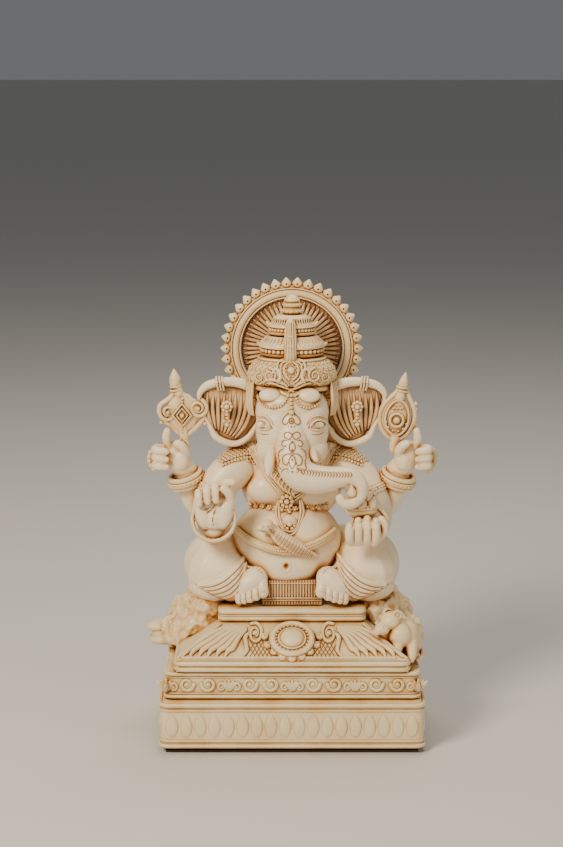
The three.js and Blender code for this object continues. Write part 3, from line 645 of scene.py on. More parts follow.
def make_panel():
    low, high = corners("front_panel")
    core = sloping_block("plinth_core")
    put(core, STAND, "plinth_resin", "plinth_core")
    panel = sloping_block("front_panel")
    skin = Skin(panel)
    top, foot = high.z, low.z
    tall = top - foot
    wide_foot, wide_top = high.x, corners("cap_slab")[1].x

    def lay(path, lift=0.3):
        return skin.front(path, lift)

    runs, studs, fine, net = [], [], [], []
    for side in (-1, 1):
        # a smooth fillet follows the leaning side
        fine.append(lay([
            (side * (wide_foot - 1.8 - (wide_foot - wide_top) * t), foot + 1 + (tall - 2) * t, 0.9)
            for t in (0, 0.25, 0.5, 0.75, 1)
        ], 0.2))
        # one big acanthus leaf: long lobes fan from its stem by the cap down to the foot
        stem = Vector((27.5, top - 2.4))
        for k in range(6):
            tip = wide_foot - 4.5 - 5.1 * k
            reach = tip - stem.x
            runs.append(lay([
                (side * stem.x, stem.y - 0.3 * k, 0.8),
                (side * (stem.x + reach * 0.38), stem.y - 0.6 - 0.8 * k, 1.6),
                (side * (stem.x + reach * 0.7), foot + tall * (0.52 - 0.045 * k), 2.2),
                (side * (tip - 1.2), foot + 4, 1.9), (side * (tip + 0.6), foot + 1.4, 0.6)
            ], 0.5))
        # a volute with a ball in its eye curls back from the stem, over a small net
        vx, vz = side * 22, top - 5
        runs.append(lay(spiral(vx, vz, 60 if side > 0 else 120, 1.5, 4.6, 1.4, 1.3, 0.7, side), 0.5))
        runs.append(lay([
            (side * 26.4, top - 5.4, 1.3), (side * 28, foot + 9, 1.5), (side * 26.6, foot + 4, 1.2),
            (side * 29.4, foot + 1.6, 0.7)
        ], 0.5))
        studs += lay([(vx, vz, 1.9)], 0.5)
        for k in range(6):
            x = 15.5 + 2.4 * k
            net.append(lay([
                (side * x, foot + 8.6, 0.26), (side * (x - 3), foot + 5, 0.26),
                (side * (x - 6), foot + 1.6, 0.26)
            ], 0.05))
            net.append(lay([
                (side * (x - 6), foot + 8.6, 0.26), (side * (x - 3), foot + 5, 0.26),
                (side * x, foot + 1.6, 0.26)
            ], 0.05))
    # line along the foot, and petals round the medallion
    fine.append(lay([(x, foot + 1.2, 0.9) for x in range(-int(wide_foot) + 3, int(wide_foot) - 2, 6)], 0.2))
    at = middle("panel_medallion")
    seal_low, seal_high = corners("panel_medallion")
    radius = (seal_high.x - seal_low.x) / 2
    petals = []
    for k in range(9):
        a = math.radians(180 + 180 * (k + 0.5) / 9)
        x, z = at.x + (radius + 2.4) * math.cos(a), high.z - 4.5 + (tall * 0.66) * math.sin(a)
        petals += lay([(x, z, 2.7)], 0.3)
    engraved(net, "panel_net", "plinth_resin", "front_panel")
    runs = sound(runs + fine)
    studs_made = beads(studs)
    ring_petals = copies(pin_holed_pattern(), [
        Matrix.LocRotScale(Vector(p[:3]), Euler((math.radians(-58), 0, 0)), Vector((p[3], p[3] * 0.8, p[3])))
        for p in petals
    ], "petals")
    relief = strands(runs, 8, 2)
    hand_in([panel, relief, studs_made, ring_petals], STAND, "plinth_resin", "front_panel")

    # medallion: a ring round a domed stone, leaning with the panel
    lean = math.degrees(math.atan2(tall, wide_foot - wide_top))
    centre = Vector((at.x, (seal_low.y + seal_high.y) / 2, (seal_low.z + seal_high.z) / 2))
    tilt = (lean, 0, 0)
    base = ball(centre, (radius, radius, 2.2), tilt, 40)
    rim = hoop(off(centre, 0, -1, 1.2), radius - 2.4, 1.9, tilt)
    inner = hoop(off(centre, 0, -1.2, 1.6), radius * 0.56, 0.8, tilt)
    stone = ball(off(centre, 0, -1, 1.4), (radius * 0.52, radius * 0.52, 4.2), tilt, 32)
    around = []
    for k in range(24):
        a = 2 * math.pi * k / 24
        spot = Vector((math.cos(a), math.sin(a), 0)) * radius * 0.7
        spot.rotate(Euler((math.radians(lean), 0, 0)))
        around.append((*(centre + Vector((0, -1.2, 1.6)) + spot), 0.85))
    seal = join([base, rim, inner, stone, beads(around)], "panel_medallion")
    put(rounded(seal), STAND, "plinth_resin", "panel_medallion")


def pin_holed_pattern():
    """A small cushion with a pin hole in the face that looks along -Y."""
    bpy.ops.mesh.primitive_uv_sphere_add(segments=12, ring_count=8, radius=1)
    ob = bpy.context.object
    ob.data.transform(Matrix.Rotation(math.radians(90), 4, "X"))
    for vertex in ob.data.vertices:
        if vertex.co.y < -0.99:
            vertex.co.y += 1.1
        elif vertex.co.y < -0.9:
            vertex.co.x *= 0.6
            vertex.co.z *= 0.6
    return rounded(ob)


# ---------------------------------------------------------------- rocky flanks, bolster and mouse
def make_flanks():
    for side, word in SIDES:
        low, high = corners(f"rock_{word}")
        outer = high.x if side > 0 else low.x
        inner = low.x if side > 0 else high.x
        at = Vector(((outer + inner) / 2, (low.y + high.y) / 2, (low.z + high.z) / 2))
        heap = []
        for dx, dy, dz, size in (
            (-9, 4, 6, 15), (-10, -12, 5, 12), (-8, 18, 3, 13), (0, 2, -3, 13), (3, -13, -7, 11),
            (4, 15, -5, 12), (11, 0, -11, 10), (-4, -16, -5, 11), (10, 16, -12, 9), (12, -10, -13, 7),
            (-2, -6, 7, 9), (-3, 10, 8, 9), (5, 6, 0, 9), (16, 8, -16, 6), (8, -18, -13, 6)
        ):
            heap.append(ball(
                off(at, side * dx, dy, dz), (size, size * 1.05, size * 0.92), (dx * 9, dy * 7, dz * 5), 12
            ))
        crag = clay(heap, f"rock_{word}", 1.5, 1)
        bpy.ops.mesh.primitive_cube_add(size=1)
        keep = shaped(
            bpy.context.object, (low + high) / 2, (high.x - low.x + 3, high.y - low.y + 2, high.z - low.z + 2)
        )
        change(crag, "BOOLEAN", operation="INTERSECT", object=keep, solver="EXACT")
        bpy.data.objects.remove(keep)
        change(crag, "REMESH", mode="VOXEL", voxel_size=0.8)
        for kind, size, strength in (("VORONOI", 8, 5.0), ("VORONOI", 3.4, 2.0), ("CLOUDS", 1.7, 1.5)):
            grit = bpy.data.textures.new("rock face", kind)
            grit.noise_scale = size
            change(crag, "DISPLACE", texture=grit, strength=strength, mid_level=0.55, texture_coords="LOCAL")
        change(crag, "SMOOTH", factor=0.5, iterations=1)
        put(rounded(crag), STAND, "plinth_resin", f"rock_{word}")

    low, high = corners("bolster")
    at = (low + high) / 2
    tall, wide = (high.z - low.z) / 2, (high.x - low.x) / 2
    saddle = clay([
        ball(off(at, 0, 0, tall * 0.55), (wide, 9, tall * 0.42), (0, -6, 0)),
        ball(off(at, 1, 0, -tall * 0.5), (wide * 0.95, 9, tall * 0.5)),
        ball(off(at, 1, 0, 0), (wide * 0.72, 8, tall * 0.7)),
    ], "bolster", 0.6, 5)
    put(saddle, STAND, "plinth_resin", "bolster")

    low, high = corners("mouse_body")
    at = (low + high) / 2
    body = clay([
        ball(off(at, 0, 2, 1), (9.8, 12.5, 10.4)),
        ball(off(at, 1, 8, -2), (10, 8.5, 9.5)),
        ball(off(at, -3, -6, 3), (7.5, 8, 8)),
        limb([off(at, -4, -9, 0, 4), off(at, -5, -13, -5, 3),
              off(at, -6, -15.5, -8.5, 2.2)], 12),
        limb([off(at, 4, -6, -2, 4), off(at, 4, -12, -7, 3),
              off(at, 3.4, -15, -9.5, 2.2)], 12),
        ball(off(at, 7.2, 6, -5.5), (4.4, 7.5, 6)),
        limb([off(at, 7, 3, -10, 2.6), off(at, 7, -5, -10.8, 2)], 10),
    ], "mouse_body", 0.6, 6)
    tail = strands([[(*(at + Vector(p)), r) for p, r in (
        ((9, 11, -8), 1.8), ((11, 3, -10.5), 1.5), ((10.4, -6, -11), 1.1), ((7, -11, -11.2), 0.6))]], 10, 4)
    toes = []
    for dx in (-6.5, 3.2):
        for k in (-1, 0, 1):
            toes.append((at.x + dx + k * 1.3, low.y + 1.6, at.z - 9.6, 0.95))
    body = join([body, tail, beads(toes)], "mouse_body")
    put(body, CARVED, "ivory_resin", "mouse_body")

    low, high = corners("mouse_head")
    at = (low + high) / 2
    face = clay([
        ball(off(at, 2.5, 2, 1), (6.2, 6.6, 5.8)),
        ball(off(at, -2.5, -3, -2), (4.6, 5, 4)),
        ball(off(at, -6.2, -5.8, -3.6), (2.3, 2.4, 2.1)),
        limb([off(at, 7, 4, -2, 5.2), off(at, 10, 7, -6, 6)], 12),
    ], "mouse_head", 0.5, 5)
    for ear_x, ear_y in ((6.2, -0.5), (1, 4.5)):
        face = join([face, hoop(off(at, ear_x, ear_y, 5.2), 2.4, 0.8, (78, 8, 24)),
                     ball(off(at, ear_x, ear_y + 0.5, 5.2), (2.4, 0.7, 2.4), (-12, 0, 24))], "mouse_head")
    face = join([face, beads([off(at, -2.6, -6.6, 0.4, 1.1), off(at, -5.8, -0.6, 0.4, 1.1),
                              off(at, -8, -7, -3.2, 0.8)])], "mouse_head")
    put(rounded(face), CARVED, "ivory_resin", "mouse_head")


# ---------------------------------------------------------------- belly, chest, legs
SKINS = {}


def make_torso():
    navel = ball(off(BELLY, -1, -26, -8.3), (1.7, 4, 2.1))
    belly = clay([
        ball(off(BELLY, -0.5, -2, 2), (33.5, 24.5, 27), fine=40),
        ball(off(BELLY, 2, 5, -9), (33, 22, 22), fine=32),
        ball(off(BELLY, -0.5, -9.5, -7), (24, 17, 20), fine=32),
    ], "belly", 0.9, 12, navel)
    SKINS["belly"] = Skin(belly)
    ring = SKINS["belly"].front([
        (BELLY.x - 1 + 2.7 * math.cos(a * math.pi / 6), BELLY.z - 8.3 + 3.1 * math.sin(a * math.pi / 6), 0.55)
        for a in range(12)
    ], -0.1)
    hand_in([belly, strands([ring], 8, 2, True)], SKIN, "ivory_resin", "belly")

    shoulder = corners("chest")[1].z - 13
    chest = clay([
        ball(off(CHEST, 0, 1, -5), (31, 19, 25), fine=36),
        ball(off(CHEST, -14, -9, -6), (13.5, 9.5, 10.5)),
        ball(off(CHEST, 15, -9, -7), (14, 10.5, 11)),
        limb([(-30, CHEST.y, shoulder - 2, 11.2), (0, CHEST.y + 1, shoulder + 1, 12.4),
              (30, CHEST.y, shoulder - 2, 11.2)], 20),
    ], "chest", 0.9, 8)
    SKINS["chest"] = Skin(chest)
    put(chest, SKIN, "ivory_resin", "chest")


def make_legs():
    for side, word in SIDES:
        low, high = corners(f"{word}_leg")
        knee = Vector((side * (max(abs(low.x), abs(high.x)) - 20), 8, CAP_TOP + 20.6))
        leg_parts = [
            ball(knee, (20, 20.5, 20.4), fine=36), ball((side * 46, -3, CAP_TOP + 10.4), (17, 15, 10.6)),
            limb([
                (side * 18, 24, CAP_TOP + 23, 18), (side * 32, 18, CAP_TOP + 22.5, 19.5),
                (knee.x, knee.y, knee.z, 19.5)
            ], 22),
            limb([
                (knee.x, 0, CAP_TOP + 19, 18.5), (side * 38, -5, CAP_TOP + 16.5, 15),
                (side * 29, -10, CAP_TOP + 12.5, 10)
            ], 22)
        ]
        leg = clay(leg_parts, f"{word}_leg", 0.9, 8)
        skin = Skin(leg)
        folds, creases = [], []
        # the cloth hangs in sagging folds that fan out from the ankle to the knee
        for k in range(7):
            path = [
                (26.5 + 0.7 * k, 30 - 2.9 * k, 0.9), (33 - 0.3 * k, 24 - 3.1 * k, 1.7),
                (41 - 1.4 * k, 17.6 - 2.5 * k, 2.0), (50 - 2.4 * k, 14 - 2 * k, 1.7),
                (60 - 3.8 * k, 14.6 - 1.9 * k, 0.8)
            ]
            laid = skin.front([(side * x, CAP_TOP + z, r) for x, z, r in path], 0.5)
            if len(laid) > 3:
                folds.append(laid)
                creases.append([
                    (side * (x + 0.6), CAP_TOP + z - 1.8, 0.14 + 0.2 * (r > 1)) for x, z, r in path
                ])
        cloth = strands(folds, 10, 3)
        leg = clay([leg, cloth], f"{word}_leg", 0.6, 2)
        draped = Skin(leg)
        engraved([
            draped.front(flowing(c, 3), 0.0) for c in creases
        ], f"{word}_leg_folds", "ivory_resin", f"{word}_leg")
        hem = skin.front([(side * x, CAP_TOP + z, 0.7) for x, z in
                          ((37.5, 4), (37, 12), (33.5, 19), (28, 25))], 0.3)
        if len(hem) > 2:
            leg = join([leg, strands([hem], 8, 3)], f"{word}_leg")
        SKINS[f"{word}_leg"] = Skin(leg)
        put(leg, SKIN, "ivory_resin", f"{word}_leg")

        low, high = corners(f"{word}_foot")
        # the foot stands on its outer edge, so the toes step down from the big toe outwards
        parts = [
            limb([
                (side * 21.6, -14.6, CAP_TOP + 17, 7.2), (side * 27, -15, CAP_TOP + 13, 7.6),
                (side * 32, -13.6, CAP_TOP + 9.6, 6.8)
            ], 20), limb([(side * 27, -12, CAP_TOP + 12, 8.4), (side * 33, -4, CAP_TOP + 17, 7.4)], 18)
        ]
        toes, nails = [], []
        tips = ((17.4, 4.6, 9.6, 3.6), (21.6, 3.8, 7.4, 2.9), (25.2, 3.6, 6, 2.7), (28.6, 4, 5, 2.6),
                (31.6, 4.8, 4.2, 2.4))
        for x, y, z, size in tips:
            tip = Vector((side * x, low.y + y + 0.6, CAP_TOP + z))
            root = tip + Vector((side * 0.9, 5, 7.4))
            toes.append(limb([
                (*root, size * 1.05), (*(root.lerp(tip, 0.5) + Vector((0, -0.6, 0.9))), size * 0.95),
                (*tip, size)
            ], 12))
            nails.append(Matrix.LocRotScale(
                tip + Vector((side * 0.2, -size * 0.82, size * 0.42)), Euler((math.radians(30), 0, 0)),
                Vector((size * 0.44, size * 0.2, size * 0.38))
            ))
        foot = clay(parts + toes, f"{word}_foot", 0.38, 2)
        bare = Skin(foot)
        engraved([
            bare.front([
                (
                    side * ((a[0] + b[0]) / 2 + 0.4 + 0.2 * s), CAP_TOP + (a[2] + b[2]) / 2 - 2 + 2 * s,
                    0.3 - 0.04 * s
                )
                for s in range(4)
            ], 0.0)
            for a, b in zip(tips, tips[1:])
        ], f"{word}_toe_gaps", "ivory_resin", f"{word}_foot")
        hem = [
            (side * x, CAP_TOP + z, 0.9) for x, z in ((19, 22), (23, 24.6), (28, 24), (33, 20.6), (36.5, 15))
        ]
        anklet = Skin(foot).front(flowing(hem, 4), 0.3)
        foot = join([foot, copies(bead_pattern(), nails, "nails")]
                    + ([beads(spaced(anklet, 1.9))] if len(anklet) > 2 else []), f"{word}_foot")
        put(rounded(foot), SKIN, "ivory_resin", f"{word}_foot")

    low, high = corners("seat_mat")
    low, high = low + Vector((-5, 0.6, 0)), high + Vector((5, 0, 1))
    mat = block(low + Vector((0.5, 0.8, 0.2)), high - Vector((0.5, 0, 0.5)))
    change(mat, "BEVEL", width=0.8, segments=2)
    threads = []
    count = 21
    for k in range(count):
        x = low.x + 1.4 + (high.x - low.x - 2.8) * k / (count - 1)
        z0 = low.z + 3.2
        threads.append([
            (x, low.y + 0.8, z0, 0.62), (x, low.y + 0.7, (z0 + high.z) / 2, 0.66),
            (x, low.y + 0.8, high.z - 0.8, 0.6)
        ])
        for fan in (-0.35, 0.35):
            threads.append([(x, low.y + 0.8, z0 - 0.4, 0.5), (x + fan, low.y + 0.5, low.z + 0.6, 0.62)])
    lines = [
        [(low.x + 0.8, low.y + 0.4, z, 0.55), (high.x - 0.8, low.y + 0.4, z, 0.55)]
        for z in (low.z + 3.1, low.z + 4.6, high.z - 2)
    ]
    hand_in([mat, strands(threads, 6, 2), strands(lines, 8, 1)], HOLLOW, "plinth_resin", "seat_mat")


def make_snake():
    belly = SKINS["belly"]
    level = middle("snake_belt").z - 3
    low, high = corners("snake_belt")
    # the thin part goes round the belly as a belt
    path = []
    for k in range(25):
        t = k / 24
        sag = 1 - (2 * t - 1) ** 2
        path.append((low.x + 1.5 + (high.x - low.x - 5) * t, level + 4.5 - 8.5 * sag, 1.9 + 0.7 * sag))
    laid = belly.front(path, 1.2)
    coil = strands([laid], 14, 2)
    scales = []
    for x, y, z, r in spaced(laid, 1.5):
        for row in (-1, 0, 1):
            scales.append((
                x + (0.7 if row else 0), y - r * (0.92 if row == 0 else 0.62), z + row * r * 0.66, 0.95
            ))
    # the thick part lies across it, from the raised head down to a leaf-shaped tip
    mx = BELLY.x - 1
    spine = [
        (mx - 7.4, level + 7, 3.5), (mx - 3.6, level + 3.2, 4.4), (mx + 1.6, level - 0.2, 5),
        (mx + 7, level - 3, 4.4), (mx + 12, level - 5.4, 2.9), (mx + 16, level - 7.4, 1.7),
        (mx + 19, level - 9, 0.6)
    ]
    body = belly.front(spine, 1.8)
    top = body[0]
    thick = clay([
        strands([body], 16, 5),
        limb([(*top[:3], 3.5), (mx - 10, top[1] - 2.4, level + 9.4, 3.5)], 14),
        ball((mx - 12, top[1] - 3.6, level + 11), (4.8, 4, 3.8), (0, -35, 0)),
        ball((mx - 15, top[1] - 4.6, level + 10), (2.9, 2.7, 2.2)),
    ], "thick", 0.4, 3)
    hide = Skin(thick)
    cuts = []
    for k in range(16):
        x = mx - 9 + 1.7 * k
        z = level + 8.2 - 16.6 * (k / 15) ** 0.82
        for lean in (-2.2, 2.2):
            cuts.append(hide.front([
                (x + lean * s, z + 3.6 * s, 0.17) for s in (-1, -0.6, -0.2, 0.2, 0.6, 1)
            ], 0.0))
    engraved([
        [p for p in cut if p[1] < belly.front([(p[0], p[2], 1)])[0][1] - 1] for cut in cuts if len(cut) > 2
    ], "snake_scales", "ornament_resin", "snake_belt")
    mouth = hide.front([
        (mx - 17, level + 9, 0.25), (mx - 14.4, level + 8.8, 0.34), (mx - 12, level + 8, 0.3)
    ], 0.0)
    engraved([mouth], "snake_mouth", "ornament_resin", "snake_belt")
    eyes = beads([
        (x, y, z, 0.85)
        for x, y, z, _ in hide.front([(mx - 10.4, level + 12.4, 1), (mx - 14, level + 11.6, 1)], 0.1)
    ])
    hand_in([coil, thick, eyes, beads(scales)], CARVED, "ornament_resin", "snake_belt")


# ---------------------------------------------------------------- head, face, ears
BOSSES = ((-12.5, 21), (9.4, 21))
EYES = ((-17.2, 3.0), (14.9, 3.2))


def make_head():
    at = HEAD
    sockets = join([
        ball(off(at, x, -25.6, z), (6, 4.6, 4.2), (0, math.copysign(8, x), 0)) for x, z in EYES
    ], "sockets")
    face = clay([
        ball(off(at, 0, 0, 1), (21.5, 20, 24), fine=36),
        *(ball(off(at, x, -7, -1), (13.4, 15.4, 20), fine=32) for x in (-8.5, 8.5)),
        ball(off(at, 0, -7, 13), (20, 14.5, 12.5), fine=32),
        *(ball(off(at, x, -6.5, 9), (11, 13.5, 13), fine=24) for x in (-11, 11)),
        limb([off(at, 0, -8, 15, 9), off(at, 0, -12.6, 3, 10.6), off(at, 0, -15, -9, 10.8)], 22),
        *(ball(off(at, x, -11, -13), (8.4, 9, 9.5)) for x in (-13, 13)),
        ball(off(at, 0, -9, -19), (12, 9, 6.5)),
        ball(off(at, 0, 9, -12), (15, 12, 14)),
        limb([off(at, -10, -13, -11, 5.4), off(at, -12, -19, -14.5, 4.9)], 14),
        limb([off(at, 10, -13, -11, 5.2), off(at, 11.6, -18, -14, 4.5)], 14),
    ], "head", 0.65, 7, sockets)
    skin = Skin(face)
    SKINS["head"] = skin
    drawn, cuts, extra = [], [], []
    for x, z in EYES:
        side = math.copysign(1, x)
        met = skin.meet((at.x + x, -100, at.z + z), FRONT)[0]
        extra.append(ball(off(met, 0, 1.0, 0), (3.9, 2.1, 2.3), (0, side * 8, 0), 24))
        extra.append(hoop(off(met, -side * 0.2, -1.0, 0), 1.25, 0.36, (90, 0, 0), fine=20))
        extra.append(ball(off(met, -side * 0.2, -0.7, 0), (0.9, 0.6, 0.9), fine=12))

        def arc(path, lift=0.2):
            drawn.append(skin.front([
                (at.x + x + side * dx * 0.86, at.z + z + dz * 0.86, r * 0.8) for dx, dz, r in path
            ], lift))

        arc(((-5.4, -1.6, 0.3), (-4, 1.2, 0.8), (-0.8, 3.2, 1.0), (2.8, 2.2, 0.85), (5.6, -0.5, 0.3)), 0.9)
        arc(
            ((-5.2, -1.9, 0.3), (-2.6, -3.0, 0.6), (0.8, -3.3, 0.7), (3.6, -2.2, 0.5), (5.6, -0.7, 0.25)), 0.6
        )
        arc(((-6.6, 1.4, 0.3), (-4.4, 4.6, 0.6), (-0.4, 6.2, 0.7), (3.6, 5.2, 0.6), (6.2, 2.2, 0.25)), 0.1)
        for path in (
            ((-5.6, -1.8, 0.2), (-3.8, 0.6, 0.3), (-0.8, 2.3, 0.32), (2.6, 1.4, 0.3), (5.4, -0.9, 0.2)),
            ((-6.2, 0.6, 0.2), (-4.2, 3.8, 0.26), (-0.4, 5.3, 0.28), (3.4, 4.2, 0.24), (5.8, 1.4, 0.15)),
            ((-3.4, -5.2, 0.12), (0.4, -5.9, 0.22), (3.8, -5, 0.12))
        ):
            cuts.append(skin.front([(at.x + x + side * dx, at.z + z + dz, r) for dx, dz, r in path], 0.15))
    # two smooth bosses on the brow
    for x, z in BOSSES:
        met, normal = skin.meet((at.x + x, -100, at.z + z - 1), FRONT)[:2]
        slope = math.degrees(math.atan2(normal.z, -normal.y))
        extra.append(ball(met + normal * 0.6, (6.8, 3.4, 4.8), (-slope, math.copysign(4, x), 0), 32))
    # engraved lines on the brow: a ring, two curls and a row of dots
    for side in (-1, 1):
        cuts.append(skin.front([
            (at.x - 0.5 + side * px, at.z + pz, r)
            for px, pz, r in (
                (0.9, 11, 0.3), (2.4, 9.6, 0.38), (4.6, 7.2, 0.4), (5.2, 4.8, 0.4), (3.4, 3.6, 0.38),
                (2.2, 5, 0.3)
            )
        ], 0.1))
        cuts.append(skin.front([(at.x - 0.5 + side * px, at.z + pz, r) for px, pz, r in
                                ((0.6, 1.8, 0.3), (2.4, 0.6, 0.36), (4.2, 1.6, 0.28))], 0.1))
    drawn = sound(drawn)
    ring = skin.front([
        (at.x - 0.5 + 1.5 * math.cos(a * math.pi / 6), at.z + 6 + 1.5 * math.sin(a * math.pi / 6), 0.42)
        for a in range(12)
    ], 0.15)
    dots = skin.front(
        [(at.x - 0.5, at.z + z, 0.6) for z in (6, 2.6, 0.6)] + [
            (at.x - 0.5 + side * 1.9, at.z + 2.8, 0.45) for side in (-1, 1)
        ], 0.15
    )
    put(join([strands([ring], 6, 0, True), beads(dots)], "brow_marks"), LINES, "ivory_resin", "head")
    engraved(cuts, "face_lines", "ivory_resin", "head")
    face = join([face, *extra, strands(drawn, 8, 3)], "head")
    put(rounded(face), SKIN, "ivory_resin", "head")


def make_trunk():
    at = HEAD
    front = corners("trunk")[0].y
    low, high = corners("trunk")
    curl = Vector((high.x - 9.8, front + 8.5, at.z - 32.6))
    nose = clay([limb([
        (0, at.y - 7.4, at.z + 13, 8), (0, at.y - 12.6, at.z + 2, 10.4), (0, at.y - 17, at.z - 8, 10.7),
        (0.2, front + 16.4, at.z - 17, 10.4), (4, front + 11.6, at.z - 24.6, 10),
        (11.5, front + 10, at.z - 27.6, 9), (20, front + 9, at.z - 27.8, 7.7),
        (28, front + 8.4, at.z - 26.4, 6.3), (curl.x + 0.5, curl.y - 0.6, curl.z + 6.4, 5.2),
        (curl.x + 5.6, curl.y - 1, curl.z + 1.6, 4.4), (curl.x + 4.9, curl.y - 1, curl.z - 4.6, 4),
        (curl.x + 0.4, curl.y - 1.6, curl.z - 8.8, 3.7), (curl.x - 4.4, curl.y - 2.2, curl.z - 8.6, 3.2),
        (curl.x - 6.6, curl.y - 2.6, curl.z - 6, 2.7)
    ], 24, 6)], "trunk", 0.5, 4)
    skin = Skin(nose)
    drawn, cuts = [], []
    # short ticks along the trunk's upper edge, and fine creases below
    for k in range(19):
        a = k / 18
        x = 3.5 + 31 * a
        z = at.z - 20.4 - 3.0 * (1 - (1 - a) ** 3)
        cuts.append(skin.front([
            (x - 1.1, z + 1.1, 0.14), (x, z + 0.3, 0.3), (x + 0.3, z - 0.8, 0.34), (x - 0.3, z - 2, 0.16)
        ], 0.1))
    for k in range(7):
        z = at.z - 6 - k * 2.4
        drawn.append(skin.front([(dx, z - 1.2 + 0.02 * dx * dx, 0.24) for dx in (5.4, 7, 8.6, 9.8)], -0.05))
        drawn.append(skin.front([(-dx, z - 1.2 + 0.02 * dx * dx, 0.24) for dx in (5.4, 7, 8.6, 9.8)], -0.05))
    # engraved stem down the middle: a lyre, then a palmette
    for side in (-1, 1):
        for path in (
            [(0.4, -1.2, 0.34), (2.6, -0.2, 0.4), (4.6, -1.4, 0.4), (4.4, -3.4, 0.36), (2.8, -3.6, 0.3)],
            [
                (0.3, -2.6, 0.3), (1.8, -4.4, 0.4), (5.2, -5.2, 0.42), (6.2, -7.2, 0.4), (4.6, -8.6, 0.36),
                (3.4, -7.4, 0.28)
            ], [(0.3, -5.4, 0.3), (1.6, -7.6, 0.4), (1.6, -9.6, 0.4), (0.3, -11.4, 0.34)],
            [
                (0.4, -12.2, 0.36), (3.4, -12.6, 0.42), (5.6, -14.6, 0.44), (5.4, -17.6, 0.42),
                (3.2, -18.6, 0.38), (2.4, -16.8, 0.3)
            ], [(0.3, -13, 0.36), (1.8, -15.2, 0.42), (1.6, -18, 0.38), (0.3, -20.2, 0.3)],
            [
                (4.8, -9.6, 0.26), (7.2, -11, 0.4), (8, -14, 0.42), (7.4, -17.4, 0.4), (8.2, -20, 0.34),
                (6.6, -21.4, 0.28)
            ], [(3, -20.6, 0.26), (5, -21.4, 0.34), (6.4, -23.4, 0.3)]
        ):
            cuts.append(skin.front([(side * x, at.z + z, r * 0.85) for x, z, r in path], 0.1))
    dots = skin.front([(0, at.z + z, 0.75) for z in (-1.6, -5.6, -10.2, -15.4, -22)], 0.15)
    dots += skin.front([(side * 2.6, at.z - 20.8 - k * 1.5, 0.4) for k in range(2) for side in (-1, 1)], 0.1)
    drawn = sound(drawn)
    put(beads([(x, y, z, r * 0.8) for x, y, z, r in dots]), LINES, "ivory_resin", "trunk")
    engraved(cuts, "trunk_lines", "ivory_resin", "trunk")
    nose = join([nose, strands(drawn, 8, 3)], "trunk")
    put(rounded(nose), SKIN, "ivory_resin", "trunk")

    low, high = corners("trunk_sweet")
    mid = Vector((curl.x + 0.4, (low.y + high.y) / 2 - 1.4, curl.z - 1.4))
    sweet = clay([
        ball(off(mid, 0, 0, -1), (3, 3.6, 3.2)),
        limb([off(mid, 0, -0.6, 0, 2.5), off(mid, -0.6, -1, 4.6, 0.5)], 12)
    ], "trunk_sweet", 0.3, 3)
    pleats = Skin(sweet)
    lines = [
        pleats.front([
            (mid.x + 0.5 + k * 0.2, mid.z + 4, 0.2), (mid.x + k * 0.9, mid.z + 1, 0.3),
            (mid.x + k * 1.1, mid.z - 2.6, 0.2)
        ], 0)
        for k in (-2, -1, 0, 1, 2)
    ]
    hand_in([sweet, strands(sound(lines), 6, 3)], CARVED, "ornament_resin", "trunk_sweet")

    for side, word in SIDES:
        low, high = corners(f"tusk_{word}")
        root = Vector((side * 11.4, -20, at.z - 13.5))
        if side < 0:
            tip = Vector((low.x + 1.5, low.y + 1, low.z + 1))
            tusk = strands([[
                (*root, 4.4), (*(root.lerp(tip, 0.5) + Vector((-0.6, 0, -0.4))), 3.4), (*tip, 0.8)
            ]], 18, 5)
        else:
            tip = Vector((high.x - 2, low.y + 6, low.z + 5.5))
            tusk = strands([[(*root, 3.4), (*root.lerp(tip, 0.6), 2.6), (*tip, 1.7)]], 18, 5)
        collar = hoop(root.lerp(tip, 0.1), 4.4 if side < 0 else 3.6, 0.8, (35, side * 12, 0), (1, 1, 1), 24)
        tusk = join([tusk, collar], f"tusk_{word}")
        put(rounded(tusk), SKIN, "ivory_resin", f"tusk_{word}")


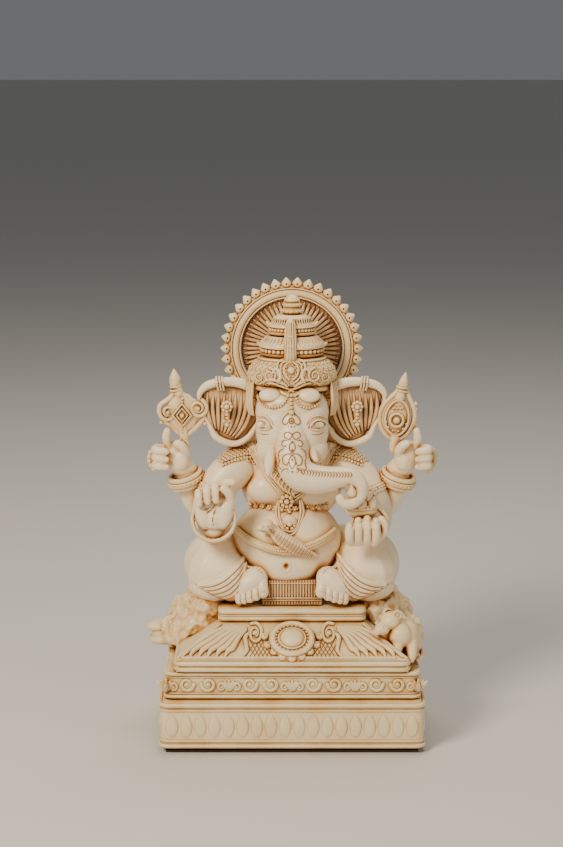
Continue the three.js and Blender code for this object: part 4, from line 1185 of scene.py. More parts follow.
def make_ears():
    for side, word in SIDES:
        low, high = corners(f"ear_{word}")
        inner, outer = (low.x, high.x) if side > 0 else (high.x, low.x)
        y = (low.y + high.y) / 2
        wide, tall = abs(outer - inner), high.z - low.z
        base_z = low.z

        def spot(u, v, depth=0.0, r=1.0):
            return (inner + side * wide * u, y + depth, base_z + tall * v, r)

        def lobes(rows, depth=0.0):
            """Flat balls from (across, up, half width, half depth, half height, turn, fineness)."""
            return [ball(spot(u, v, depth)[:3], (wide * a, b, tall * c), (0, side * turn, 0), fine)
                    for u, v, a, b, c, turn, fine in rows]

        # the cup: a thin flap with ridges that sweep down and out from the root
        flap = clay(lobes((
            (0.5, 0.55, 0.46, 1.5, 0.38, -14, 28), (0.3, 0.62, 0.36, 1.8, 0.3, 0, 24),
            (0.68, 0.74, 0.28, 1.4, 0.2, 0, 24), (0.46, 0.28, 0.26, 1.4, 0.22, 0, 24),
        )), f"ear_{word}", 0.6, 5)
        ridges = []
        for k in range(9):
            t = k / 8
            ridges.append([
                spot(0.14 + 0.72 * t, 0.84 - 0.04 * t, -1.0, 0.5),
                spot(0.17 + 0.7 * t, 0.56 + 0.03 * t, -1.9, 1.35),
                spot(0.27 + 0.56 * t, 0.32 + 0.1 * t, -2.0, 1.35),
                spot(0.42 + 0.36 * t, 0.14 + 0.16 * t, -1.5, 0.7)
            ])
        cup = join([flap, strands(ridges, 10, 4)], f"ear_{word}")
        put(rounded(cup), HOLLOW, "ivory_resin", f"ear_{word}")
        shell = clay([
            *lobes((
                (0.5, 0.55, 0.47, 1.8, 0.4, -14, 28), (0.3, 0.62, 0.37, 2.2, 0.32, 0, 24),
                (0.68, 0.76, 0.29, 1.8, 0.2, 0, 24), (0.46, 0.26, 0.27, 1.8, 0.23, 0, 24),
            ), 1.6),
            limb([spot(0.02, 0.72, 1.5, 4.4), spot(0.2, 0.6, 1.4, 3.4)], 12),
            strands([
                [
                    spot(0.02, 0.84, -3, 2.4), spot(0.2, 0.9, -3, 3.4), spot(0.42, 0.95, -2.6, 3.0),
                    spot(0.64, 0.95, -2.4, 2.8), spot(0.86, 0.9, -2, 2.6), spot(0.98, 0.79, -1.6, 1.9),
                    spot(0.99, 0.66, -1.2, 1.2)
                ],
                [
                    spot(0.99, 0.68, -1.2, 1.1), spot(0.93, 0.56, -1.6, 1.1), spot(0.9, 0.44, -1.5, 1.3),
                    spot(0.82, 0.3, -2, 1.6), spot(0.74, 0.16, -2.2, 2.1), spot(0.56, 0.07, -2.3, 2.2),
                    spot(0.38, 0.06, -2.2, 2.0), spot(0.2, 0.17, -2, 1.8), spot(0.06, 0.36, -1.6, 1.4)
                ]
            ], 14, 4)
        ], f"ear_{word}_rim", 0.55, 3)
        strap = strands([
            [
                spot(u + d, v, y0, 0.55)
                for u, v, y0 in ((0.6, 0.84, -4.2), (0.62, 0.95, -5.6), (0.63, 1.03, -3.4))
            ]
            for d in (0, 0.045, 0.09)
        ], 8, 3)
        studs = beads([spot(0.64 + d, 0.96, -6.1, 0.75) for d in (0.02, 0.065)])
        rim = join([shell, strap, studs], f"ear_{word}_rim")
        put(rounded(rim), SKIN, "ivory_resin", f"ear_{word}")

        # earring: a flower with a drop of beads
        low, high = corners(f"earring_{word}")
        at = Vector(((low.x + high.x) / 2, low.y - 0.4, high.z - 4))
        petals = rose(at.x, at.y, at.z, 2.5, 1.25, 8)
        drop = [
            (at.x, at.y, at.z - 4.6, 1.3), (at.x, at.y, at.z - 6.9, 1.0), (at.x - 1.4, at.y, at.z - 8.8, 1.0),
            (at.x + 1.4, at.y, at.z - 8.8, 1.0), (at.x, at.y, at.z - 10.8, 1.5)
        ]
        flower = join([
            beads(petals + [(at.x, at.y - 0.9, at.z, 1.7)] + drop),
            strands([[(at.x, at.y + 2, at.z, 2.6), (at.x, at.y + 0.4, at.z, 3.2)]], 14, 0, False, False)
        ], f"earring_{word}")
        put(rounded(flower), CARVED, "ornament_resin", f"earring_{word}")


def make_hair():
    """A shawl of small overlapping locks over the shoulders, with chains of beads over it."""
    low, high = corners("collar")
    base = clay([limb([
        (low.x + 6, 13, low.z + 3, 5.4), (-21, 20, high.z - 11, 7), (0, 21.5, high.z - 7.5, 7.4),
        (21, 20, high.z - 11, 7), (high.x - 6, 13, low.z + 3, 5.4)
    ], 18)], "collar", 0.8, 4)
    skin = Skin(base)
    skin.trees += SKINS["chest"].trees + SKINS["arm_right"].trees + SKINS["arm_left"].trees
    down = Vector((0, 0.84, -0.54))
    locks, chains, back = [], [], []
    for row in range(12):
        for k in range(-19, 20):
            x = k * 2.3 + (1.15 if row % 2 else 0)
            z = high.z - 1.5 - row * 1.75 - (abs(x) / 40) ** 1.6 * 12
            if abs(x) < 19 or z < high.z - 24:
                continue
            laid = skin.front([
                (x - 1.0, z + 0.7, 0.45), (x - 0.5, z - 0.5, 0.62), (x + 0.5, z - 0.5, 0.62),
                (x + 1.0, z + 0.7, 0.45)
            ], 0.25, down)
            if len(laid) == 4 and laid[0][2] > high.z - 26:
                locks.append(laid)
    for row in range(5):
        for k in range(-12, 13):
            x = k * 3.0 + (1.5 if row % 2 else 0)
            met = skin.meet((x, 90, high.z - 2.4 - row * 2.6 - (abs(x) / 40) ** 1.6 * 17), -FRONT)
            if met:
                back.append((*met[0], 1.5))
    for side in (-1, 1):
        for drop in (0, 2.6):
            chains += spaced(skin.front([
                (side * x, high.z - 15 - drop - (x - 18) * 0.42, 0.95) for x in range(18, 44, 2)
            ], 0.7, down), 2.0)
    hand_in([base, strands(locks, 6, 1), beads(chains + back)], CARVED, "ornament_resin", "collar")


# ---------------------------------------------------------------- necklace and pendant
def make_necklace():
    skin = Skin()
    skin.trees = SKINS["chest"].trees + SKINS["belly"].trees
    low, high = corners("necklace")
    peak, foot = high.z + 4, low.z + 4.5

    def vee(offset, x):
        share = abs(x) / (high.x + 1)
        return foot + offset + (peak - foot - offset * 0.2) * share ** 1.35

    def edge(offset, radius, lift=0.6, step=2):
        return skin.front([
            (x, vee(offset, x), radius) for x in range(int(low.x) - 1, int(high.x) + 2, step)
        ], lift)

    band = strands([skin.front([
        (x, vee(6.2, x), 4.2) for x in range(int(low.x), int(high.x) + 1, 3)
    ], -2.2)], 14, 1)
    rolls = strands([edge(0.4, 0.85), edge(2.2, 0.5, 1.4), edge(10.4, 0.5, 1.2), edge(12.2, 0.9)], 8, 1)
    plaits = []
    for x in range(int(low.x) + 1, int(high.x), 2):
        lean = 1.6 if x > 0 else -1.6
        plaits.append(skin.front([
            (x - lean, vee(3.4, x), 0.55), (x, vee(6.2, x), 0.85), (x - lean, vee(9.2, x), 0.55)
        ], 2.0))
    plaits = strands(sound(plaits), 8, 2)
    # garland of flowers and beads under the band
    garland = []
    for k in range(-7, 6):
        x = k * 3.7 + 1.5
        z = foot - 1.2 - 4.2 * (1 - min(1, abs(x + 5) / 28) ** 2)
        met = skin.front([(x, z, 1.25)], 1.0)
        if met:
            p = met[0]
            garland.append((p[0], p[1] - 0.8, p[2], 1.0))
            garland += rose(*p[:3], 1.35, 0.8, 6)
    middle_z = foot + 1
    hub = skin.front([(-3, middle_z, 1)], 2.2)[0]
    bloom = [(hub[0], hub[1] - 1.6, hub[2], 1.7)]
    bloom += rose(hub[0], hub[1] - 0.6, hub[2], 3.1, 1.45, 8)
    hand_in([band, rolls, plaits, beads(garland + bloom)], CARVED, "ornament_resin", "necklace")

    low, high = corners("pendant")
    mid = (low + high) / 2
    cords = []
    for grow in (0, 1.7):
        path = [
            (mid.x - 6.2 - grow * 0.5, high.z + 3, 0.7), (mid.x - 6.8 - grow, mid.z + 1, 0.75),
            (mid.x - 3.4, low.z - 0.5 - grow, 0.75), (mid.x + 2.2, low.z - 0.8 - grow, 0.75),
            (mid.x + 6 + grow, mid.z + 1, 0.75), (mid.x + 5.6 + grow * 0.5, high.z + 3, 0.7)
        ]
        cords.append(skin.front(path, 0.5))
    cluster = skin.front([
        (mid.x - 0.5 + dx, low.z + 2.2 + dz, r)
        for dx, dz, r in (
            (0, 0, 1.8), (-2.4, 1.2, 1.2), (2.4, 1.2, 1.2), (-1.4, -2.2, 1.1), (1.4, -2.2, 1.1), (0, 3, 1.3),
            (0, 6, 1.1), (0, 8.6, 0.9), (-2.8, -1, 0.9), (2.8, -1, 0.9)
        )
    ], 1.1)
    back = ball((mid.x - 0.5, mid.y + 1.4, low.z + 3.6), (4.6, 2.2, 4.6))
    loop = join([strands(cords, 8, 4), beads(cluster), back], "pendant")
    put(rounded(loop), CARVED, "ornament_resin", "pendant")


# ---------------------------------------------------------------- crown
def make_crown():
    axis = (0, BULB.y, 0)
    low, high = corners("crown_bulb")
    bulb = turned([
        (0.93, 0), (0.985, 0.12), (1, 0.27), (0.99, 0.42), (0.94, 0.58), (0.86, 0.75), (0.77, 0.88), (0.7, 1)
    ], low, high, (low.y + high.y) / 2, 64, "crown_bulb")
    # a lower skirt that covers the back and sides of the head, down to the ears
    skirt = turned(
        [(0.8, 0), (0.93, 0.08), (0.965, 0.5), (0.97, 0.95), (0.9, 1)],
        Vector((low.x, low.y + 11, low.z - 12)), Vector((high.x, high.y, low.z + 3)),
        (low.y + 11 + high.y) / 2, 64, "skirt"
    )
    bulb = join([bulb, skirt], "crown_bulb")
    rounded(bulb)
    skin = Skin(bulb)
    SKINS["bulb"] = skin
    tall = high.z - low.z
    net, knots = [], []
    skirt_z = low.z - 11
    cells = 36
    for k in range(cells):
        for hand in (-1, 1):
            path = [(360 / cells * k + hand * 50 * t, skirt_z + 1 + (high.z - skirt_z - 3) * t, 0.42)
                    for t in (i / 9 for i in range(10))]
            net.append(skin.round(axis, path, 0.12))
        for row in range(7):
            knots += skin.round(
                axis,
                [(360 / cells * (k + 0.5 * (row % 2)), skirt_z + 2 + row * (high.z - skirt_z - 5) / 6, 0.62)],
                0.25
            )
    hems = []
    for z, r in ((skirt_z + 0.4, 0.9), (skirt_z + 2.6, 0.6), (high.z - 0.9, 0.8)):
        hems.append(skin.round(axis, [(a, z, r) for a in range(0, 360, 8)], 0.3))
    # nested pointed arches round a boss, in the middle of the front
    arches = []
    boss_z = low.z + tall * 0.62
    for grow, r in ((1, 0.75), (1.45, 0.6), (1.9, 0.75)):
        path = [
            (-0.6 + dx * grow, boss_z + dz * grow, r)
            for dx, dz in (
                (-1.2, -4.6), (-3.2, -2.8), (-4.2, 0), (-3.2, 2.8), (-1.4, 4.2), (0, 5.6), (1.4, 4.2),
                (3.2, 2.8), (4.2, 0), (3.2, -2.8), (1.2, -4.6)
            )
        ]
        arches.append(skin.front(path, 0.5))
    boss = skin.front([(-0.6, boss_z, 2.3)], 0.4)
    boss += skin.front([
        (-0.6 + 3.2 * math.cos(a * math.pi / 5), boss_z + 3.2 * math.sin(a * math.pi / 5), 0.65)
        for a in range(10)
    ], 0.3)
    side_scrolls = []
    for side in (-1, 1):
        side_scrolls.append(skin.front(spiral(side * 13, boss_z - 3, 90, 1.5, 4, 1, 0.9, 0.5, side), 0.4))
        side_scrolls.append(skin.front(spiral(
            side * 19, boss_z - 4.5, 90, 1.3, 2.8, 0.8, 0.7, 0.4, -side
        ), 0.4))
    net = sound(net + side_scrolls)
    put(join([
        bulb, strands(net, 6, 1), beads(knots + boss), strands(hems, 8, 0, True), strands(sound(arches), 8, 4)
    ], "crown_bulb"), CARVED, "ornament_resin", "crown_bulb")

    low, high = corners("crown_brim")
    shrink = Vector((2.6, 3.4, 0))
    brim = turned(
        [(0.9, 0), (0.98, 0.2), (1, 0.5), (0.98, 0.8), (0.9, 1)], low + shrink, high - shrink,
        (low.y + high.y) / 2 + 1, name="crown_brim"
    )
    smooth_edges(brim, 60)
    brow = Skin(brim)
    brow.trees += SKINS["head"].trees + SKINS["bulb"].trees
    arcs, swags = [], []
    for x, z in BOSSES:
        side = math.copysign(1, x)
        z += HEAD.z
        for grow, r in ((0.2, 0.75), (2.2, 0.9)):
            arcs.append(brow.front([
                (-0.6, z + 1.5 + grow, r), (x * 0.42, z + 4.4 + grow, r), (x, z + 6.4 + grow, r),
                (x + side * 6.4, z + 3.4 + grow, r * 0.8)
            ], 0.6))
        swag = brow.front([
            (x * 0.05 - 0.5, z + 2, 0.85), (x * 0.3, z - 3.6, 0.85), (x * 0.62, z - 6.8, 0.85),
            (x + side * 1.5, z - 7.6, 0.85), (x + side * 6, z - 5.4, 0.85), (x + side * 8, z - 1.5, 0.85)
        ], 0.8)
        swags += spaced(flowing(swag, 4), 1.75)
    for side in (-1, 1):
        arcs.append(brow.front([
            (-0.6 + side * x, HEAD.z + z, r)
            for x, z, r in (
                (1.4, 20, 0.7), (5.4, 21.6, 1.05), (8, 25, 1.2), (7.4, 28.6, 1.15), (6.2, 31.2, 1.1),
                (7, 34.2, 1.05), (9.4, 35, 0.9), (10.6, 33, 0.7)
            )
        ], 0.8))
    drop = brow.front([
        (-0.5, HEAD.z + z, r)
        for z, r in ((22.5, 1.3), (20, 1.1), (17.8, 1.0), (15.8, 1.0), (13.8, 1.1), (11.2, 1.7))
    ], 0.9)
    # ribbed lappets hang from the brim beside the ears
    lappets = []
    for side in (-1, 1):
        for k in range(4):
            x = side * (23.2 + k * 0.9)
            lappets.append([
                (x, -8 + k * 1.9, high.z + 1, 0.7), (x + side * 0.8, -8.6 + k * 1.9, low.z - 5, 1.05),
                (x - side * 0.4, -8 + k * 1.9, low.z - 14, 0.8)
            ])
    put(join([
        brim, strands(sound(arcs), 8, 4), beads(swags + drop), strands(lappets, 8, 4)
    ], "crown_brim"), CARVED, "ornament_resin", "crown_brim")

    # two more tiers, each a cornice over a row of beads
    for node, profile, rows, bead in (
        (
            "crown_band",
            [
                (0.86, 0), (0.95, 0.08), (0.98, 0.16), (0.9, 0.2), (0.9, 0.42), (0.99, 0.46), (1, 0.58),
                (0.95, 0.68), (0.86, 0.78), (0.8, 0.88), (0.74, 1)
            ], (0.31,), 1.45
        ),
        (
            "crown_tier",
            [
                (0.86, 0), (0.97, 0.05), (1, 0.14), (0.9, 0.2), (0.88, 0.36), (0.98, 0.42), (0.97, 0.5),
                (0.86, 0.58), (0.76, 0.66), (0.7, 0.74), (0.76, 0.79), (0.76, 0.87), (0.62, 0.93), (0.56, 1)
            ], (0.28,), 1.1
        )
    ):
        low, high = corners(node)
        mid_y = (low.y + high.y) / 2
        body = turned(profile, low, high, mid_y, 56, node)
        smooth_edges(body, 50)
        skin = Skin(body)
        ring_beads, extra = [], []
        for share in rows:
            z = low.z + (high.z - low.z) * share
            count = int(2 * math.pi * (high.x - low.x) / 2 * 0.9 / (bead * 2.15))
            ring_beads += skin.round((0, mid_y), [(360 / count * k, z, bead) for k in range(count)], 0.2)
        top = low.z + (high.z - low.z) * (0.74 if node == "crown_band" else 0.64)
        ribs = []
        for k in range(40):
            ribs.append(skin.round(
                (0, mid_y), [(9 * k, top - 1.2, 0.3), (9 * k, top, 0.5), (9 * k, top + 2.4, 0.35)], 0.1
            ))
        # brackets that point outward at the sides
        for side in (-1, 1):
            x = side * (high.x - low.x) / 2 * 0.93
            z = low.z + (high.z - low.z) * 0.5
            extra.append([
                (x * 0.8, mid_y - 2, z, 1.6), (x, mid_y - 2.6, z + 0.2, 1.3),
                (x * 1.12, mid_y - 2.8, z + 1.8, 0.6)
            ])
        put(join([
            body, beads(ring_beads), strands(sound(ribs), 6, 2), strands(extra, 8, 3)
        ], node), CARVED, "ornament_resin", node)

    low, high = corners("crown_finial")
    tip = turned([
        (0.8, 0), (1, 0.1), (1, 0.2), (0.76, 0.28), (0.66, 0.34), (0.9, 0.42), (0.92, 0.5), (0.7, 0.56),
        (0.6, 0.6), (0.74, 0.68), (0.66, 0.8), (0.42, 0.92), (0.12, 1)
    ], low, high, (low.y + high.y) / 2, 40, "crown_finial")
    smooth_edges(tip, 55)
    skin = Skin(tip)
    mid_y = (low.y + high.y) / 2
    studs = skin.round((0, mid_y), [(24 * k, low.z + (high.z - low.z) * 0.15, 0.8) for k in range(15)], 0)
    hand_in([tip, beads(studs)], CARVED, "ornament_resin", "crown_finial")

    # the crest: a ribbed strap that climbs the front of the tiers from the pointed arches
    low, high = corners("crown_crest")
    mid_x = (low.x + high.x) / 2
    rail = [
        (mid_x, low.y + 3.2, low.z - 1), (mid_x, low.y + 3.4, low.z + 4), (mid_x, low.y + 6.2, low.z + 10),
        (mid_x, low.y + 8.8, low.z + 16), (mid_x, low.y + 10.2, high.z - 1)
    ]
    strap = clay([strands([[
        (*p, r) for p, r in zip(rail, (3.0, 3.6, 3.9, 3.6, 2.6))
    ]], 16, 4)], "crown_crest", 0.5, 3)
    skin = Skin(strap)
    ribs = [
        skin.front([
            (mid_x + dx * (1 - 0.25 * t), low.z + 1 + (high.z - low.z - 2) * t, 0.45)
            for t in (0, 0.25, 0.5, 0.75, 1)
        ], 0.15)
        for dx in (-3, -1.5, 0, 1.5, 3)
    ]
    rungs = [
        skin.front([(mid_x - 3.6, z + 1, 0.4), (mid_x, z, 0.6), (mid_x + 3.6, z + 1, 0.4)], 0.2)
        for z in (low.z + 3, low.z + 8.5, low.z + 14, low.z + 19)
    ]
    hand_in([strap, strands(sound(ribs + rungs), 8, 3)], CARVED, "ornament_resin", "crown_crest")


# ---------------------------------------------------------------- halo
def around(centre, radius, count, scale):
    """Matrices for copies in a ring that faces forward, each copy's +Z pointing outward."""
    places = []
    for k in range(count):
        a = 2 * math.pi * k / count
        at = Vector((centre.x + radius * math.cos(a), centre.y, centre.z + radius * math.sin(a)))
        places.append(
            Matrix.Translation(at) @ Matrix.Rotation(
                -(a - math.pi / 2), 4, "Y"
            ) @ Matrix.Diagonal((*scale, 1))
        )
    return places


def flute_pattern():
    """A teardrop flute: narrow toward the middle of the halo, round outside."""
    bpy.ops.mesh.primitive_uv_sphere_add(segments=10, ring_count=10, radius=1)
    ob = bpy.context.object
    for vertex in ob.data.vertices:
        z = vertex.co.z
        narrow = 0.42 + 0.58 * max(0, min(1, (z + 1) / 1.6)) ** 0.8
        vertex.co.x *= narrow
        vertex.co.y *= narrow
    return rounded(ob)


def bud_pattern():
    """A turnip bud, round below and drawn to a point above, with a pin hole in its front."""
    bpy.ops.mesh.primitive_uv_sphere_add(segments=16, ring_count=12, radius=1)
    ob = bpy.context.object
    for vertex in ob.data.vertices:
        z = vertex.co.z
        if z > 0.2:
            pull = (z - 0.2) / 0.8
            vertex.co.z += 0.38 * pull ** 3
            vertex.co.x *= 1 - 0.35 * pull
            vertex.co.y *= 1 - 0.4 * pull
    bpy.ops.mesh.primitive_cylinder_add(
        vertices=10, radius=0.2, depth=1.2, location=(0, -1.1, 0), rotation=(math.pi / 2, 0, 0)
    )
    drill = bpy.context.object
    change(ob, "BOOLEAN", operation="DIFFERENCE", object=drill, solver="EXACT")
    bpy.data.objects.remove(drill)
    only(ob)
    bpy.ops.object.shade_smooth_by_angle(angle=math.radians(50))
    return ob


def make_halo():
    low, high = corners("halo_disc")
    radius = (high.x - low.x) / 2
    at = HALO
    face_y = low.y
    bpy.ops.mesh.primitive_cylinder_add(vertices=72, radius=radius - 0.1, depth=high.y - low.y - 2.6)
    dish = shaped(bpy.context.object, at + Vector((0, 1.2, 0)), (1, 1, 1), (90, 0, 0))
    change(dish, "BEVEL", width=0.6, segments=2, limit_method="ANGLE")
    smooth_edges(dish)
    flutes = copies(
        flute_pattern(),
        around(Vector((at.x, face_y + 2.2, at.z)), radius * 0.69, FLUTES, (1.45, 1.7, radius * 0.29)),
        "flutes"
    )
    dots = beads([
        (
            at.x + (radius * 0.9) * math.cos(2 * math.pi * k / FLUTES), face_y + 0.9,
            at.z + (radius * 0.9) * math.sin(2 * math.pi * k / FLUTES), 0.55
        )
        for k in range(FLUTES)
    ])
    inner = hoop((at.x, face_y + 2, at.z), radius * 0.4, 1.0, (90, 0, 0), fine=60)
    hub = ball((at.x, face_y + 2.6, at.z), (radius * 0.36, 1.5, radius * 0.36), fine=36)
    hand_in([dish, flutes, dots, inner, hub], HOLLOW, "ornament_resin", "halo_disc")

    low, high = corners("halo_rim")
    reach = (high.x - low.x) / 2 - 3
    rim = hoop(at, reach, 2.9, (90, 0, 0), (1, 1, 1), 96)
    rounded(rim)
    lines = [hoop((at.x, at.y - 2.2, at.z), reach + d, 0.5, (90, 0, 0), fine=96) for d in (-2.7, 2.7)]
    rim = join([rim, *lines], "halo_rim")
    put(rounded(rim), CARVED, "ornament_resin", "halo_rim")

    low, high = corners("halo_buds")
    outer = (high.x - low.x) / 2
    buds = copies(
        bud_pattern(), around(Vector((at.x, at.y - 0.2, at.z)), outer - 3.2, BUDS, (3.3, 2.7, 2.75)), "buds"
    )
    bed = hoop(at, outer - 5.3, 1.5, (90, 0, 0), (1, 1, 1), 96)
    hand_in([buds, bed], CARVED, "ornament_resin", "halo_buds")

    low, high = corners("halo_stem")
    stem = block(low, high)
    for vertex in stem.data.vertices:
        if vertex.co.z > middle("halo_stem").z:
            vertex.co.x *= 0.8
    change(stem, "BEVEL", width=2, segments=4)
    smooth_edges(stem)
    rib = strands([
        [(x, high.y, low.z + 4, 1.3), (x * 0.8, high.y, high.z - 3, 1.1)] for x in (-9, -3, 3, 9)
    ], 10, 1)
    hand_in([stem, rib], STAND, "plinth_resin", "halo_stem")


# ---------------------------------------------------------------- arms, hands and what they hold
def digit(points, radius):
    """A finger through its joints, fuller at each joint."""
    run = []
    for i, p in enumerate(points):
        run.append((*p, radius * (1.06, 0.98, 1.0, 0.86)[min(i, 3)]))
    return strands([run], 14, 4)


def reaching(base, side, steps, radius):
    """A finger through steps (x, y, z) from the hand's middle, mirrored for a side of -1."""
    return digit([off(base, side * x, y, z) for x, y, z in steps], radius)


def nail(at, radius, turn=(0, 0, 0)):
    return ball(at, (radius * 0.6, radius * 0.32, radius * 0.75), turn, 12)


def bead_bracelet(centre, axis, radius, rows, size, gap):
    """Rows of beads round a wrist, between two thin wires."""
    normal = Vector(axis).normalized()
    side = normal.orthogonal().normalized()
    up = normal.cross(side)
    spots, wires = [], []
    for row in range(rows):
        shift = (row - (rows - 1) / 2) * gap
        count = int(2 * math.pi * radius / (size * 2.1))
        for k in range(count):
            a = 2 * math.pi * k / count
            p = Vector(centre) + normal * shift + (side * math.cos(a) + up * math.sin(a)) * radius
            spots.append((*p, size))
    for shift in (-(rows / 2) * gap - 0.2, rows / 2 * gap + 0.2):
        wires.append([
            (
                *(Vector(centre) + normal * shift + (side * math.cos(a) + up * math.sin(a)) * radius),
                size * 0.75
            )
            for a in (2 * math.pi * k / 40 for k in range(40))
        ])
    return [beads(spots), strands(wires, 8, 0, True)]


def make_front_arms():
    chest_y = CHEST.y
    for side, word in SIDES:
        low, high = corners(f"front_arm_{word}")
        top = high.z
        shoulder = Vector((side * 33, chest_y - 5, top - 12))
        elbow = Vector((side * 51, -4, low.z + 10.4))
        wrist = Vector((side * 46.5, -19, low.z + 7.9))
        arm = clay([
            limb([
                (*shoulder, 12), (side * 42, chest_y - 7.5, top - 19.5, 11.6),
                (side * 49.5, chest_y - 11, top - 33, 10.4), (*elbow, 9.4)
            ], 20), limb([(*elbow, 9.4), (side * 49.5, -11, low.z + 9.2, 8.9), (*wrist, 7.4)], 20),
            ball(off(wrist, 0, 1.5, 6), (9.6, 7, 11), fine=24)
        ], f"front_arm_{word}", 0.8, 6)
        SKINS[f"arm_{word}"] = Skin(arm)
        # armlet with a boss
        at = Vector((side * 45.8, chest_y - 9.4, top - 26))
        armlet = bead_bracelet(at, (side * 0.42, -0.16, -1), 11.4, 1, 1.15, 2.6)
        boss = at + Vector((side * 1, -11.6, 1))
        flower = [(*boss, 2)] + rose(boss.x, boss.y + 0.9, boss.z, 2.9, 1.2, 8)
        arm = join([arm, *armlet, beads(flower)], f"front_arm_{word}")
        put(arm, SKIN, "ivory_resin", f"front_arm_{word}")
        centre = middle(f"bracelet_{word}")
        ringed = bead_bracelet(
            centre + Vector((0, -3.6, 6.6) if side < 0 else (0, -0.6, 3)), (0, -1, 0.3),
            12.6 if side < 0 else 10.4, 2, 1.5, 2.8
        )
        put(join(ringed, f"bracelet_{word}"), CARVED, "ornament_resin", f"bracelet_{word}")

    # right hand: palm shown, three fingers folded over at their tips, the first one pointing inward
    low, high = corners("front_hand_right")
    palm = Vector(((low.x + high.x) / 2 - 1.8, low.y + 8.5, low.z + 18))
    parts = [
        ball(off(palm, 0, 0, 0.4), (10.4, 4.8, 11), (6, 0, 0), 28),
        ball(off(palm, 6, -2.4, -3), (5.6, 4.8, 9.2), (0, 10, 0), 24),
        ball(off(palm, -6.8, -1.8, -3.4), (5, 4.1, 9), (0, -10, 0), 24),
        limb([off(palm, 0, 6, -12, 6.6), off(palm, 0, 1.5, -6, 8)], 18),
    ]
    pitch = 4.9
    for k in range(3):
        x = palm.x - 9 + k * pitch
        rise = (-3, -0.4, 0.9)[k]
        parts.append(digit([
            (x + 0.6, palm.y + 1, palm.z + 6), (x, palm.y - 1.4, palm.z + 13.2 + rise),
            (x + 0.1, palm.y - 6.2, palm.z + 12.6 + rise), (x + 0.5, palm.y - 7.6, palm.z + 6.4 + rise * 0.6)
        ], 2.5))
    parts.append(digit([
        (palm.x + 4.4, palm.y + 0.4, palm.z + 7), (palm.x + 4.8, palm.y - 2.4, palm.z + 14),
        (palm.x + 7.2, palm.y - 4.6, palm.z + 16.6), (palm.x + 11, palm.y - 5.4, palm.z + 17)
    ], 2.6))
    parts.append(reaching(palm, 1, ((8.4, -2.6, 1), (10, -4, 6.4), (8.8, -6, 11), (6, -7.2, 13.6)), 2.9))
    hand = clay(parts, "front_hand_right", 0.38, 2)
    skin = Skin(hand)
    creases = [skin.front([(palm.x + x, palm.z + z, r) for x, z, r in path], -0.14) for path in (
        ((-9, -5, 0.2), (-4, -1.4, 0.42), (0, 2.2, 0.42), (3.2, 6.4, 0.2)),
        ((0.4, -11, 0.2), (-0.8, -6, 0.45), (0.4, -0.6, 0.45), (2.6, 3, 0.2)),
        ((-9.6, 1, 0.2), (-5.6, 0.4, 0.36), (-1.8, 2.2, 0.2)))]
    engraved(creases, "palm_lines", "ivory_resin", "front_hand_right")
    gaps = [
        skin.front([(palm.x - 6.5 + k * pitch, palm.z + z, 0.24) for z in (7.4, 9.6, 12, 14)], 0.0)
        for k in range(3)
    ]
    engraved(gaps, "finger_gaps", "ivory_resin", "front_hand_right")
    put(rounded(hand), SKIN, "ivory_resin", "front_hand_right")

    # left hand: fingers cupped up round a heap of sweets
    low, high = corners("front_hand_left")
    cup = Vector(((low.x + high.x) / 2, low.y + 8, low.z + 11))
    parts = [
        ball(off(cup, 0.6, 0.2, -3), (11.4, 6.8, 7.8), fine=28),
        limb([off(cup, 3, 6, -3.6, 6.4), off(cup, 1, 2, -3, 7.6)], 18),
    ]
    pitch = 5.1
    reaches = (5.4, 8.6, 9.6, 8.2)
    for k, reach in enumerate(reaches):
        x = cup.x - 8.4 + k * pitch
        parts.append(digit([
            (cup.x + (x - cup.x) * 0.86, cup.y - 1.4, cup.z - 8), (x, cup.y - 5.0, cup.z - 4.6),
            (x - 0.1, cup.y - 6.0, cup.z - 3 + reach * 0.6), (x, cup.y - 4.6, cup.z - 3 + reach)
        ], 2.85))
    parts.append(reaching(cup, 1, ((9.4, -0.5, -5), (12.2, -1.6, -1), (12, -2.4, 3), (10.4, -2.8, 6)), 2.7))
    hand = clay(parts, "front_hand_left", 0.38, 2)
    skin = Skin(hand)
    engraved([
        skin.front([
            (cup.x - 5.85 + k * pitch, cup.z - 7 + 2.2 * s, 0.16 + 0.12 * (0 < s < 4)) for s in range(5)
        ], 0.0)
        for k in range(3)
    ], "hand_lines", "ivory_resin", "front_hand_left")
    nails = [
        nail((cup.x - 8.4 + k * pitch, cup.y - 7.2, cup.z - 2.4 + reach), 2.3, (-20, 0, 0))
        for k, reach in enumerate(reaches)
    ]
    hand = join([hand, *nails], "front_hand_left")
    put(rounded(hand), SKIN, "ivory_resin", "front_hand_left")

